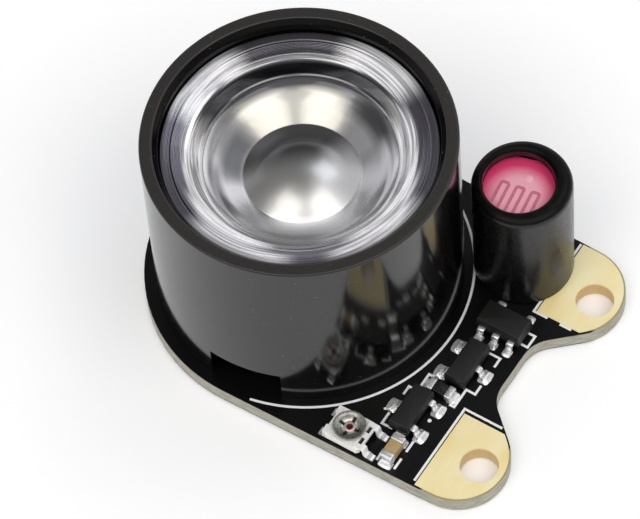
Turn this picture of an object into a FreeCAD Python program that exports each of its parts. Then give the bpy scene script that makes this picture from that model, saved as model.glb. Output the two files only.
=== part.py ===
import FreeCAD, Part
import math
import os
import Sketcher

# Infrared illuminator for a small camera board: a black circuit board with two gold
# contact ears, a tall lens barrel over a high-power emitter, and a light sensor in a sleeve.
# Origin: the barrel's axis on the underside of the board. +Z is up and +X runs to the ears.
# All lengths are millimetres and all angles are degrees.

SIZES = {
    # Circuit board, seen from above
    "board_thickness": 1.0,
    "board_margin": 0.68,
    "ear_reach": 4.88,
    "ear_radius": 2.95,
    "bay_reach": 4.68,
    "bay_corner_radius": 2.0,
    "flank_angle": 42.0,
    # Plated screw holes and gold lands on the ears
    "screw_hole_reach": 6.28,
    "screw_hole_pitch": 12.5,
    "screw_hole_radius": 1.1,
    "plating_wall": 0.05,
    "land_thickness": 0.05,
    "land_margin": 0.1,
    "land_inner_reach": 3.83,
    "near_land_run": 0.306,
    "far_land_run": 0.156,
    # Lens barrel, a moulded tube that stands on the board
    "barrel_height": 13.1,
    "barrel_radius": 8.82,
    "barrel_wall": 1.02,
    "rim_chamfer_width": 0.3,
    "rim_chamfer_depth": 0.35,
    "rim_edge_bevel": 0.12,
    "shoulder_width": 0.4,
    "notch_width": 4.3,
    "notch_height": 2.3,
    "notch_angle": 98.0,
    # Lens, a clear collimator whose flange sits in the mouth of the barrel
    "lens_recess": 0.85,
    "lens_clearance": 0.05,
    "lens_flange_thickness": 1.5,
    "lens_edge_bevel": 0.12,
    "lens_ring_width": 1.28,
    "lens_step_width": 0.37,
    "lens_step_fall": 0.2,
    "lens_recess_taper": 0.52,
    "lens_recess_depth": 1.15,
    "lens_dish_width": 2.3,
    "lens_dish_depth": 1.45,
    "lens_dome_rise": 1.085,
    "lens_flange_width": 1.05,
    "lens_cone_taper": 2.1,
    "lens_foot_height": 3.3,
    "lens_foot_width": 0.9,
    "lens_cavity_depth": 4.0,
    # Reflector, a metallised holder between the barrel's shoulder and the lens flange
    "reflector_gap": 0.25,
    "reflector_clearance": 0.1,
    "reflector_flange_thickness": 0.5,
    # Emitter, a round high-power package under the lens
    "emitter_frame_radius": 4.0,
    "emitter_frame_height": 2.8,
    "emitter_cup_top_radius": 2.9,
    "emitter_cup_foot_radius": 2.2,
    "emitter_slug_radius": 2.7,
    "emitter_slug_height": 1.9,
    "emitter_dome_reach": 1.5,
    "emitter_dome_rise": 0.6,
    "emitter_die_width": 1.1,
    "emitter_die_thickness": 0.2,
    "emitter_clearance": 0.05,
    "emitter_lead_width": 1.3,
    "emitter_lead_thickness": 0.3,
    "emitter_lead_height": 1.0,
    "emitter_lead_toe": 7.0,
    "emitter_lead_foot": 5.6,
    "emitter_lead_bend": 0.35,
    # Photoresistor in its heat-shrink sleeve
    "sleeve_gap": 0.473,
    "sleeve_outset": 0.2,
    "sleeve_height": 8.45,
    "sleeve_radius": 2.86,
    "sleeve_wall": 0.3,
    "sleeve_throat_radius": 1.85,
    "sleeve_mouth_radius": 2.05,
    "sleeve_mouth_shift_x": 0.17,
    "sleeve_mouth_shift_y": 0.06,
    "sleeve_lip_thickness": 0.5,
    "sleeve_lip_ramp": 0.5,
    "sleeve_edge_drop": 0.42,
    "sleeve_edge_inset": 0.13,
    "sleeve_mouth_bevel": 0.16,
    "sensor_angle": 15.0,
    "sensor_fit_gap": 0.05,
    "sensor_flat_width": 4.3,
    "sensor_thickness": 1.9,
    "sensor_wire_radius": 0.25,
    "sensor_wire_pitch": 3.4,
    # Solder and lands under the small parts
    "solder_rise": 0.16,
    "solder_curve_radius": 0.45,
    "chip_land_width": 0.85,
    "chip_land_reach": 0.3,
    "chip_land_tuck": 0.3,
    # Chip capacitor
    "capacitor_reach": 1.75,
    "capacitor_outset": 1.77,
    "capacitor_length": 1.6,
    "capacitor_width": 0.8,
    "capacitor_height": 0.8,
    # Chip resistor
    "resistor_reach": 1.94,
    "resistor_y": -3.28,
    "resistor_length": 1.6,
    "resistor_width": 0.8,
    "resistor_height": 0.45,
    "terminal_wall": 0.04,
    "terminal_length": 0.32,
    # Small transistor packages with three leads
    "sensor_transistor_reach": 1.33,
    "sensor_transistor_y": -5.38,
    "switch_transistor_reach": 2.43,
    "switch_transistor_y": -1.22,
    "transistor_length": 2.9,
    "transistor_width": 1.3,
    "transistor_height": 0.95,
    "transistor_span": 2.4,
    "transistor_pitch": 1.9,
    "transistor_land_width": 0.9,
    "transistor_land_reach": 0.35,
    # Driver package with five leads
    "driver_reach": 2.86,
    "driver_y": 2.02,
    "driver_length": 2.85,
    "driver_width": 1.6,
    "driver_height": 1.1,
    "driver_span": 2.7,
    "driver_pitch": 0.95,
    "driver_land_width": 0.55,
    "driver_land_reach": 0.2,
    # What all moulded packages share
    "package_draft": 7.0,
    "package_standoff": 0.08,
    "package_parting": 0.45,
    "lead_width": 0.42,
    "lead_thickness": 0.13,
    "lead_shoulder": 0.13,
    "lead_foot_length": 0.28,
    # Trimmer, a ceramic adjuster that a screwdriver turns
    "trimmer_inset": 0.99,
    "trimmer_outset": 1.91,
    "trimmer_length": 2.3,
    "trimmer_width": 2.0,
    "trimmer_plate_thickness": 0.45,
    "trimmer_corner_chamfer": 0.15,
    "clip_thickness": 0.08,
    "clip_width": 0.5,
    "clip_reach": 0.28,
    "clip_pitch": 1.4,
    "rotor_radius": 0.95,
    "rotor_floor_radius": 0.45,
    "rotor_thickness": 0.1,
    "rotor_rise": 0.2,
    "rotor_lift": 0.02,
    "rotor_slot_width": 0.2,
    "rotor_slot_length": 1.3,
    "eyelet_radius": 0.22,
    "eyelet_clearance": 0.03,
    "eyelet_head_radius": 0.34,
    "eyelet_head_height": 0.08,
    "wiper_thickness": 0.12,
    "wiper_start": 0.78,
    "wiper_bar_width": 0.13,
    "wiper_width": 1.84,
    "wiper_window_length": 0.24,
    "wiper_window_height": 0.45,
    "wiper_window_pitch": 0.8,
    "wiper_leg_width": 0.4,
    "wiper_leg_pitch": 1.44,
    "wiper_leg_toe": 1.68,
    "wiper_leg_foot": 1.48,
    "wiper_leg_bend": 0.12,
}

document = FreeCAD.newDocument("infrared_illuminator")
sheet = document.addObject("Spreadsheet::Sheet", "Dimensions")


class Size:
    """A number together with the spreadsheet expression that gives it."""

    def __init__(self, number, text):
        self.number = number
        self.text = text

    def joined(self, other, sign, number):
        return Size(number, "(%s %s %s)" % (self.text, sign, other.text))

    def __add__(self, other):
        return self.joined(other, "+", self.number + other.number)

    def __sub__(self, other):
        return self.joined(other, "-", self.number - other.number)

    def __neg__(self):
        return Size(-self.number, "(-%s)" % self.text)

    def half(self):
        return Size(self.number / 2, "(%s / 2)" % self.text)

    def times(self, count):
        return Size(self.number * count, "(%s * %d)" % (self.text, count))


def fill_sheet():
    """Write every driving size into the sheet as a plain number with an alias."""
    for row, (alias, number) in enumerate(SIZES.items(), start=1):
        sheet.set("A%d" % row, alias.replace("_", " "))
        sheet.set("B%d" % row, str(number))
        sheet.setAlias("B%d" % row, alias)
    document.recompute()


def size(alias):
    return Size(SIZES[alias], "Dimensions." + alias)


def bind(feature, name, value):
    """Tie one length of a feature to the sheet."""
    feature.setExpression(name, value.text)


NOTHING = Size(0.0, "0")


# Bodies and sketches

def new_body(label):
    body = document.addObject("PartDesign::Body", label)
    body.Label = label
    return body


def origin_plane(body, role):
    for plane in body.Origin.OriginFeatures:
        if plane.Role == role:
            return plane
    raise ValueError("no plane " + role)


def new_sketch(body, name, role, lift=None):
    """Add a sketch on one of the body's own planes, moved along the plane's normal by lift."""
    sketch = body.newObject("Sketcher::SketchObject", name)
    sketch.AttachmentSupport = (origin_plane(body, role), "")
    sketch.MapMode = "FlatFace"
    if lift is not None:
        bind(sketch, ".AttachmentOffset.Base.z", lift)
    return sketch


def place(body, x, y, z, turn=0.0):
    """Stand a body at its place on the board; turn is about the vertical."""
    upright = FreeCAD.Vector(0, 0, 1)
    body.Placement = FreeCAD.Placement(
        FreeCAD.Vector(x.number, y.number, z.number), FreeCAD.Rotation(upright, turn))
    bind(body, ".Placement.Base.x", x)
    bind(body, ".Placement.Base.y", y)
    bind(body, ".Placement.Base.z", z)


def pin_point(sketch, edge, end, u, v):
    """Fix one end of an edge at u, v from the sketch's origin."""
    for kind, value in (("DistanceX", u), ("DistanceY", v)):
        index = sketch.addConstraint(Sketcher.Constraint(kind, -1, 1, edge, end, value.number))
        bind(sketch, "Constraints[%d]" % index, value)


def set_radius(sketch, edge, radius):
    index = sketch.addConstraint(Sketcher.Constraint("Radius", edge, radius.number))
    bind(sketch, "Constraints[%d]" % index, radius)


def arc_between(start, end, radius, swing):
    """Give the short arc from start to end; swing is +1 where it turns left, -1 right."""
    chord = end - start
    half = chord.Length / 2
    rise = math.sqrt(max(radius ** 2 - half ** 2, 0.0))
    side = FreeCAD.Vector(-chord.y, chord.x, 0).normalize() * swing
    centre = start + chord * 0.5 + side * rise
    first, last = (start, end) if swing > 0 else (end, start)
    from_angle = math.atan2(first.y - centre.y, first.x - centre.x)
    to_angle = math.atan2(last.y - centre.y, last.x - centre.x)
    circle = Part.Circle(centre, FreeCAD.Vector(0, 0, 1), radius)
    return Part.ArcOfCircle(circle, from_angle, to_angle)


def dome_radius(reach, rise):
    """Radius of the arc that climbs by rise to the axis from a point at reach from it."""
    number = (reach.number ** 2 + rise.number ** 2) / (2 * rise.number)
    squares = "(%s ^ 2 + %s ^ 2)" % (reach.text, rise.text)
    return Size(number, "(%s / (2 * %s))" % (squares, rise.text))


def draw_outline(sketch, corners, arcs=None):
    """Draw a closed outline through corners, with arcs where named.

    corners is a list of (u, v) pairs of Size. arcs gives, for the edge that leaves a
    corner, its radius and its swing. Every corner and radius is tied to the sheet.
    """
    arcs = arcs or {}
    count = len(corners)
    first_end = [1] * count
    last_end = [2] * count
    for index in range(count):
        u, v = corners[index]
        next_u, next_v = corners[(index + 1) % count]
        start = FreeCAD.Vector(u.number, v.number, 0)
        end = FreeCAD.Vector(next_u.number, next_v.number, 0)
        if index in arcs:
            radius, swing = arcs[index]
            sketch.addGeometry(arc_between(start, end, radius.number, swing), False)
            if swing < 0:
                first_end[index], last_end[index] = 2, 1
        else:
            sketch.addGeometry(Part.LineSegment(start, end), False)
    for index in range(count):
        following = (index + 1) % count
        sketch.addConstraint(Sketcher.Constraint(
            "Coincident", index, last_end[index], following, first_end[following]))
    for index, (u, v) in enumerate(corners):
        pin_point(sketch, index, first_end[index], u, v)
    for index, (radius, swing) in arcs.items():
        set_radius(sketch, index, radius)


def draw_rectangle(sketch, left, right, bottom, top):
    draw_outline(sketch, [(left, bottom), (right, bottom), (right, top), (left, top)])


def draw_circle(sketch, u, v, radius):
    centre = FreeCAD.Vector(u.number, v.number, 0)
    upward = FreeCAD.Vector(0, 0, 1)
    edge = sketch.addGeometry(Part.Circle(centre, upward, radius.number), False)
    pin_point(sketch, edge, 3, u, v)
    set_radius(sketch, edge, radius)


# Features

def pad(body, sketch, length, name, symmetric=False, reverse=False, draft=None):
    feature = body.newObject("PartDesign::Pad", name)
    feature.Profile = sketch
    feature.Reversed = reverse
    if symmetric:
        feature.SideType = "Symmetric"
    bind(feature, "Length", length)
    if draft is not None:
        bind(feature, "TaperAngle", draft)
    document.recompute()
    return feature


def pocket(body, sketch, length, name, symmetric=False, reverse=False):
    """Cut a sketch out of the body and make sure that it took material away."""
    document.recompute()
    before = body.Shape.Volume
    feature = body.newObject("PartDesign::Pocket", name)
    feature.Profile = sketch
    feature.Reversed = reverse
    if symmetric:
        feature.SideType = "Symmetric"
    bind(feature, "Length", length)
    document.recompute()
    if body.Shape.Volume >= before:
        raise RuntimeError(name + " cut nothing")
    return feature


def revolve(body, sketch, name):
    """Turn a profile that is drawn on the XZ plane about the vertical axis."""
    feature = body.newObject("PartDesign::Revolution", name)
    feature.Profile = sketch
    feature.ReferenceAxis = (sketch, ["V_Axis"])
    feature.Angle = 360.0
    document.recompute()
    return feature


def repeat_along_y(body, feature, count, pitch, name):
    """Repeat a feature in a row that is centred on the body's XZ plane."""
    document.recompute()
    row = body.newObject("PartDesign::LinearPattern", name)
    row.Originals = [feature]
    row.Direction = (origin_plane(body, "XZ_Plane"), [""])
    row.Reversed = True
    bind(row, "Length", pitch.times(count - 1))
    row.Occurrences = count
    body.Tip = row
    document.recompute()
    return row


def leg_of_turn(length, turn, function):
    """Give a length times the cosine or sine of an angle in the sheet."""
    angle = math.radians(SIZES[turn])
    share = math.cos(angle) if function == "cos" else math.sin(angle)
    return Size(length.number * share,
                "(%s * %s(Dimensions.%s * 1 deg))" % (length.text, function, turn))


def other_leg(long_side, leg):
    """Give the third side of a right-angled triangle."""
    return Size(math.sqrt(long_side.number ** 2 - leg.number ** 2),
                "sqrt(%s ^ 2 - %s ^ 2)" % (long_side.text, leg.text))


def turn_with_sheet(body, turn):
    """Turn a placed body about the vertical by an angle in the sheet."""
    body.Placement.Rotation = FreeCAD.Rotation(FreeCAD.Vector(0, 0, 1), SIZES[turn])
    body.setExpression(".Placement.Rotation.Angle", "Dimensions.%s * 1 deg" % turn)


def upright_edges(shape, keep):
    """Name the straight vertical edges of a shape for which keep(x, y) is true."""
    names = []
    for number, edge in enumerate(shape.Edges, start=1):
        ends = [vertex.Point for vertex in edge.Vertexes]
        if len(ends) != 2:
            continue
        upright = math.hypot(ends[0].x - ends[1].x, ends[0].y - ends[1].y) < 1e-6
        if upright and keep(ends[0].x, ends[0].y):
            names.append("Edge%d" % number)
    return names


def bevel_top_rim(body, feature, height, radius, bevel, name):
    """Bevel the circular edge of the given radius that lies at the given height."""
    for number, edge in enumerate(feature.Shape.Edges, start=1):
        circle = edge.Curve
        if not isinstance(circle, Part.Circle):
            continue
        at_height = abs(circle.Center.z - height.number) < 1e-6
        if at_height and abs(circle.Radius - radius.number) < 1e-6:
            chamfer = body.newObject("PartDesign::Chamfer", name)
            chamfer.Base = (feature, ["Edge%d" % number])
            bind(chamfer, "Size", bevel)
            document.recompute()
            return chamfer
    raise ValueError("no rim for " + name)


# Circuit board

def board_top():
    return size("board_thickness")


def end_radius():
    """Radius of the board's round end, which shares the barrel's axis."""
    return size("barrel_radius") + size("board_margin")


def beyond_barrel(alias):
    """Distance along X of something that keeps its place outside the barrel's wall."""
    return size("barrel_radius") + size(alias)


def ear_y():
    return size("screw_hole_pitch").half()


def straight_edge_angle(first_radius, second_radius, second_x, second_y):
    """Direction of the normal of the line that touches both circles on the near side."""
    reach = math.hypot(second_x, second_y)
    return math.atan2(-second_y, second_x) - math.acos((first_radius - second_radius) / reach)


def on_circle(x, y, radius, angle):
    return FreeCAD.Vector(x + radius * math.cos(angle), y + radius * math.sin(angle), 0)


def draw_board_outline(sketch):
    """Round end, two straight sides, two round ears and the bay between them.

    The first positions are worked out from the sizes, and the constraints hold them.
    """
    round_end = end_radius()
    ear_x = beyond_barrel("ear_reach")
    across = ear_y()
    ear_radius = size("ear_radius")
    floor_x = beyond_barrel("bay_reach")
    corner = size("bay_corner_radius")
    flank = math.radians(SIZES["flank_angle"])
    side = straight_edge_angle(round_end.number, ear_radius.number, ear_x.number, across.number)
    flank_normal = math.pi / 2 - flank
    # Near half, from the round end to the middle of the bay
    end_point = on_circle(0, 0, round_end.number, side)
    ear_start = on_circle(ear_x.number, -across.number, ear_radius.number, side)
    ear_end = on_circle(ear_x.number, -across.number, ear_radius.number, flank_normal)
    apex_y = ear_end.y + (ear_end.x - floor_x.number) * math.tan(flank)
    tangent = corner.number * math.tan((math.pi / 2 - flank) / 2)
    floor_end = FreeCAD.Vector(floor_x.number, apex_y + tangent, 0)
    flank_end = FreeCAD.Vector(floor_x.number + tangent * math.cos(flank),
                               apex_y - tangent * math.sin(flank), 0)

    def far(point):
        return FreeCAD.Vector(point.x, -point.y, 0)

    def arc(x, y, radius, start, stop):
        circle = Part.Circle(FreeCAD.Vector(x, y, 0), FreeCAD.Vector(0, 0, 1), radius)
        return Part.ArcOfCircle(circle, start, stop)

    corner_x = floor_x.number + corner.number
    edges = [
        arc(0, 0, round_end.number, -side, 2 * math.pi + side),
        Part.LineSegment(end_point, ear_start),
        arc(ear_x.number, -across.number, ear_radius.number, side, flank_normal),
        Part.LineSegment(ear_end, flank_end),
        arc(corner_x, floor_end.y, corner.number, math.pi, math.pi + flank_normal),
        Part.LineSegment(floor_end, far(floor_end)),
        arc(corner_x, -floor_end.y, corner.number, math.pi - flank_normal, math.pi),
        Part.LineSegment(far(flank_end), far(ear_end)),
        arc(ear_x.number, across.number, ear_radius.number, -flank_normal, -side),
        Part.LineSegment(far(ear_start), far(end_point)),
    ]
    sketch.addGeometry(edges, False)
    joins = [(0, 2, 1, 1), (1, 2, 2, 1), (2, 2, 3, 1), (3, 2, 4, 2), (4, 1, 5, 1),
             (5, 2, 6, 2), (6, 1, 7, 1), (7, 2, 8, 1), (8, 2, 9, 1), (9, 2, 0, 1)]
    for first, first_end, second, second_end in joins:
        sketch.addConstraint(Sketcher.Constraint(
            "Tangent", first, first_end, second, second_end))
    sketch.addConstraint(Sketcher.Constraint("Coincident", 0, 3, -1, 1))
    near_ear, near_corner, far_corner, far_ear = 2, 4, 6, 8
    pin_point(sketch, near_ear, 3, ear_x, -across)
    pin_point(sketch, far_ear, 3, ear_x, across)
    set_radius(sketch, 0, round_end)
    for edge in (near_ear, far_ear):
        set_radius(sketch, edge, ear_radius)
    for edge in (near_corner, far_corner):
        set_radius(sketch, edge, corner)
    floor = sketch.addConstraint(Sketcher.Constraint(
        "DistanceX", -1, 1, 5, 1, floor_x.number))
    bind(sketch, "Constraints[%d]" % floor, floor_x)
    sketch.addConstraint(Sketcher.Constraint("Vertical", 5))
    leaning = sketch.addConstraint(Sketcher.Constraint("Angle", 7, flank))
    sketch.setExpression("Constraints[%d]" % leaning, "Dimensions.flank_angle * 1 deg")
    back = sketch.addConstraint(Sketcher.Constraint("Angle", 3, math.pi - flank))
    sketch.setExpression("Constraints[%d]" % back, "(180 - Dimensions.flank_angle) * 1 deg")


def screw_holes():
    """Give the two hole centres, near one first."""
    x = beyond_barrel("screw_hole_reach")
    return [(x, -ear_y()), (x, ear_y())]


def sensor_place():
    """Give the sleeve's centre, beside the far screw hole's line and clear of the barrel."""
    reach = size("barrel_radius") + size("sleeve_gap") + size("sleeve_radius")
    y = ear_y() + size("sleeve_outset")
    return other_leg(reach, y), y


def sleeve_bore():
    return size("sleeve_radius") - size("sleeve_wall")


def sensor_wires():
    """Give the two wire positions, on a line turned with the sensor."""
    half_pitch = size("sensor_wire_pitch").half()
    along = leg_of_turn(half_pitch, "sensor_angle", "cos")
    across = leg_of_turn(half_pitch, "sensor_angle", "sin")
    x, y = sensor_place()
    return [(x - along, y - across), (x + along, y + across)]


def make_circuit_board():
    body = new_body("circuit_board")
    outline = new_sketch(body, "board_outline", "XY_Plane")
    draw_board_outline(outline)
    pad(body, outline, board_top(), "board_sheet")
    holes = new_sketch(body, "board_holes", "XY_Plane")
    for x, y in screw_holes():
        draw_circle(holes, x, y, size("screw_hole_radius") + size("plating_wall"))
    for x, y in sensor_wires():
        draw_circle(holes, x, y, size("sensor_wire_radius") + size("sensor_fit_gap"))
    pocket(body, holes, board_top(), "board_drilling", reverse=True)
    return body


def make_power_contact(label, straight_run):
    """Gold land on a near ear with its plated hole.

    The land follows the board's edge at a margin: its arc shares the ear's centre, and a
    construction circle about the board's round end keeps its straight side parallel. Past
    the arc it follows the bay's flank for straight_run before it turns back to the barrel.
    """
    body = new_body(label)
    margin = size("land_margin")
    ear_x = beyond_barrel("ear_reach")
    across = ear_y()
    ear_radius = size("ear_radius") - margin
    guide_radius = end_radius() - margin
    inner_x = beyond_barrel("land_inner_reach")
    inner_edge = across - leg_of_turn(ear_radius, "flank_angle", "cos") - straight_run
    flank = math.radians(SIZES["flank_angle"])
    side = straight_edge_angle(guide_radius.number, ear_radius.number, ear_x.number, across.number)
    flank_normal = math.pi / 2 - flank
    ear_start = on_circle(ear_x.number, -across.number, ear_radius.number, side)
    ear_end = on_circle(ear_x.number, -across.number, ear_radius.number, flank_normal)
    slope = (ear_start.x - inner_x.number) / math.tan(-side)
    low = FreeCAD.Vector(inner_x.number, ear_start.y - slope, 0)
    run = (-inner_edge.number - ear_end.y) / math.tan(flank)
    shoulder = FreeCAD.Vector(ear_end.x - run, -inner_edge.number, 0)
    high = FreeCAD.Vector(inner_x.number, -inner_edge.number, 0)
    land = new_sketch(body, label + "_outline", "XY_Plane", board_top())
    centre = FreeCAD.Vector(ear_x.number, -across.number, 0)
    circle = Part.Circle(centre, FreeCAD.Vector(0, 0, 1), ear_radius.number)
    land.addGeometry([
        Part.LineSegment(low, ear_start),
        Part.ArcOfCircle(circle, side, flank_normal),
        Part.LineSegment(ear_end, shoulder),
        Part.LineSegment(shoulder, high),
        Part.LineSegment(high, low),
    ], False)
    guide = land.addGeometry(
        Part.Circle(FreeCAD.Vector(0, 0, 0), FreeCAD.Vector(0, 0, 1), guide_radius.number), True)
    land.addConstraint(Sketcher.Constraint("Coincident", guide, 3, -1, 1))
    set_radius(land, guide, guide_radius)
    land.addConstraint(Sketcher.Constraint("Tangent", 0, guide))
    land.addConstraint(Sketcher.Constraint("Tangent", 0, 2, 1, 1))
    land.addConstraint(Sketcher.Constraint("Tangent", 1, 2, 2, 1))
    land.addConstraint(Sketcher.Constraint("Coincident", 2, 2, 3, 1))
    inner_side = 4
    land.addConstraint(Sketcher.Constraint("Coincident", 3, 2, inner_side, 1))
    land.addConstraint(Sketcher.Constraint("Coincident", inner_side, 2, 0, 1))
    land.addConstraint(Sketcher.Constraint("Vertical", inner_side))
    land.addConstraint(Sketcher.Constraint("Horizontal", 3))
    pin_point(land, 1, 3, ear_x, -across)
    set_radius(land, 1, ear_radius)
    pin_point(land, inner_side, 1, inner_x, -inner_edge)
    back = land.addConstraint(Sketcher.Constraint("Angle", 2, math.pi - flank))
    land.setExpression("Constraints[%d]" % back, "(180 - Dimensions.flank_angle) * 1 deg")
    pad(body, land, size("land_thickness"), label + "_land")
    x, y = screw_holes()[0]
    tube = new_sketch(body, label + "_tube", "XY_Plane")
    draw_circle(tube, x, y, size("screw_hole_radius") + size("plating_wall"))
    pad(body, tube, board_top(), label + "_plating")
    bore = new_sketch(body, label + "_bore", "XY_Plane")
    draw_circle(bore, x, y, size("screw_hole_radius"))
    through = board_top() + size("land_thickness")
    pocket(body, bore, through, label + "_hole", reverse=True)
    return body


def make_power_contacts():
    near = make_power_contact("near_power_contact", size("near_land_run"))
    pattern = make_power_contact("far_contact_pattern", size("far_land_run"))
    far = document.addObject("Part::Mirroring", "far_power_contact")
    far.Label = "far_power_contact"
    far.Source = pattern
    far.Base = FreeCAD.Vector(0, 0, 0)
    far.Normal = FreeCAD.Vector(0, 1, 0)
    return [near, far]


# Lens barrel, lens and reflector

def rim_top():
    return board_top() + size("barrel_height")


def lens_top():
    return rim_top() - size("lens_recess")


def flange_seat():
    """Height at which the lens flange sits on the reflector's flange."""
    return lens_top() - size("lens_flange_thickness")


def shoulder_top():
    return flange_seat() - size("reflector_flange_thickness")


def lens_foot():
    return board_top() + size("lens_foot_height")


def barrel_bore():
    return size("barrel_radius") - size("barrel_wall")


def shoulder_radius():
    return barrel_bore() - size("shoulder_width")


def lens_outer():
    return barrel_bore() - size("lens_clearance")


def cone_top_radius():
    return lens_outer() - size("lens_flange_width")


def cone_foot_radius():
    return cone_top_radius() - size("lens_cone_taper")


def make_lens_barrel():
    body = new_body("lens_barrel")
    foot = board_top()
    top = rim_top()
    bore = barrel_bore()
    outer = size("barrel_radius")
    bevel = size("rim_edge_bevel")
    profile = new_sketch(body, "barrel_profile", "XZ_Plane")
    draw_outline(profile, [
        (shoulder_radius(), foot),
        (outer, foot),
        (outer, top - bevel),
        (outer - bevel, top),
        (bore + size("rim_chamfer_width"), top),
        (bore, top - size("rim_chamfer_depth")),
        (bore, shoulder_top()),
        (shoulder_radius(), shoulder_top()),
    ])
    revolve(body, profile, "barrel_tube")
    notch = new_sketch(body, "barrel_notch_outline", "YZ_Plane")
    half = size("notch_width").half()
    draw_rectangle(notch, -half, half, foot, foot + size("notch_height"))
    pocket(body, notch, size("barrel_radius").times(4), "barrel_notches", symmetric=True)
    turn_with_sheet(body, "notch_angle")
    return body


def make_lens():
    """Clear collimator: a cone with a hollow foot, and a dish with a low dome on its face."""
    body = new_body("lens")
    top = lens_top()
    outer = lens_outer()
    bevel = size("lens_edge_bevel")
    ring = outer - size("lens_ring_width")
    step = ring - size("lens_step_width")
    cavity_mouth = cone_foot_radius() - size("lens_foot_width")
    dish = step - size("lens_recess_taper")
    dish_top = top - size("lens_recess_depth")
    crease = dish - size("lens_dish_width")
    crease_height = dish_top - size("lens_dish_depth")
    rise = size("lens_dome_rise")
    foot = lens_foot()
    ceiling = foot + size("lens_cavity_depth")
    profile = new_sketch(body, "lens_profile", "XZ_Plane")
    draw_outline(profile, [
        (NOTHING, ceiling),
        (cavity_mouth, ceiling),
        (cavity_mouth, foot),
        (cone_foot_radius(), foot),
        (cone_top_radius(), flange_seat()),
        (outer, flange_seat()),
        (outer, top - bevel),
        (outer - bevel, top),
        (ring, top),
        (step, top - size("lens_step_fall")),
        (dish, dish_top),
        (crease, crease_height),
        (NOTHING, crease_height + rise),
    ], {11: (dome_radius(crease, rise), 1)})
    revolve(body, profile, "lens_moulding")
    return body


def make_reflector():
    body = new_body("reflector")
    seat = flange_seat()
    shelf = shoulder_top()
    foot = lens_foot()
    inner_top = cone_top_radius() + size("reflector_gap")
    inner_foot = cone_foot_radius() + size("reflector_gap")
    outer = shoulder_radius() - size("reflector_clearance")
    rim = lens_outer()
    profile = new_sketch(body, "reflector_profile", "XZ_Plane")
    draw_outline(profile, [
        (inner_foot, foot),
        (outer, foot),
        (outer, shelf),
        (rim, shelf),
        (rim, seat),
        (inner_top, seat),
    ])
    revolve(body, profile, "reflector_cup")
    return body


# Emitter under the lens

def make_emitter_slug():
    body = new_body("emitter_slug")
    disc = new_sketch(body, "slug_circle", "XY_Plane", board_top())
    draw_circle(disc, NOTHING, NOTHING, size("emitter_slug_radius"))
    pad(body, disc, size("emitter_slug_height"), "slug_disc")
    return body


def make_emitter_frame():
    body = new_body("emitter_frame")
    foot = board_top()
    shelf = foot + size("emitter_slug_height")
    top = foot + size("emitter_frame_height")
    bore = size("emitter_slug_radius") + size("emitter_clearance")
    profile = new_sketch(body, "frame_profile", "XZ_Plane")
    draw_outline(profile, [
        (bore, foot),
        (size("emitter_frame_radius"), foot),
        (size("emitter_frame_radius"), top),
        (size("emitter_cup_top_radius"), top),
        (size("emitter_cup_foot_radius"), shelf),
        (bore, shelf),
    ])
    revolve(body, profile, "frame_ring")
    return body


def make_emitter_die():
    body = new_body("emitter_die")
    half = size("emitter_die_width").half()
    square = new_sketch(body, "die_square", "XY_Plane", board_top() + size("emitter_slug_height"))
    draw_rectangle(square, -half, half, -half, half)
    pad(body, square, size("emitter_die_thickness"), "die_block")
    return body


def make_emitter_dome():
    """Clear silicone: a plug that fills the cup, with a blunt crown over the die."""
    body = new_body("emitter_dome")
    gap = size("emitter_clearance")
    top = board_top() + size("emitter_frame_height")
    plug = board_top() + size("emitter_slug_height") + size("emitter_die_thickness") + gap
    reach = size("emitter_dome_reach")
    rise = size("emitter_dome_rise")
    profile = new_sketch(body, "dome_profile", "XZ_Plane")
    draw_outline(profile, [
        (NOTHING, plug),
        (size("emitter_cup_foot_radius") - gap, plug),
        (size("emitter_cup_top_radius") - gap.times(2), top),
        (reach, top),
        (reach, top + rise),
        (NOTHING, top + rise),
    ])
    revolve(body, profile, "dome_moulding")
    return body


# Leads that leave a package, step down and stand on their lands

def draw_mitred_path(sketch, points):
    """Centre line of a very small lead: three straight runs that meet at corners."""
    spots = [FreeCAD.Vector(u.number, v.number, 0) for u, v in points]
    for index in range(3):
        sketch.addGeometry(Part.LineSegment(spots[index], spots[index + 1]), False)
    for index in range(2):
        sketch.addConstraint(Sketcher.Constraint("Coincident", index, 2, index + 1, 1))
    for index in range(3):
        pin_point(sketch, index, 1, *points[index])
    pin_point(sketch, 2, 2, *points[3])


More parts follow.
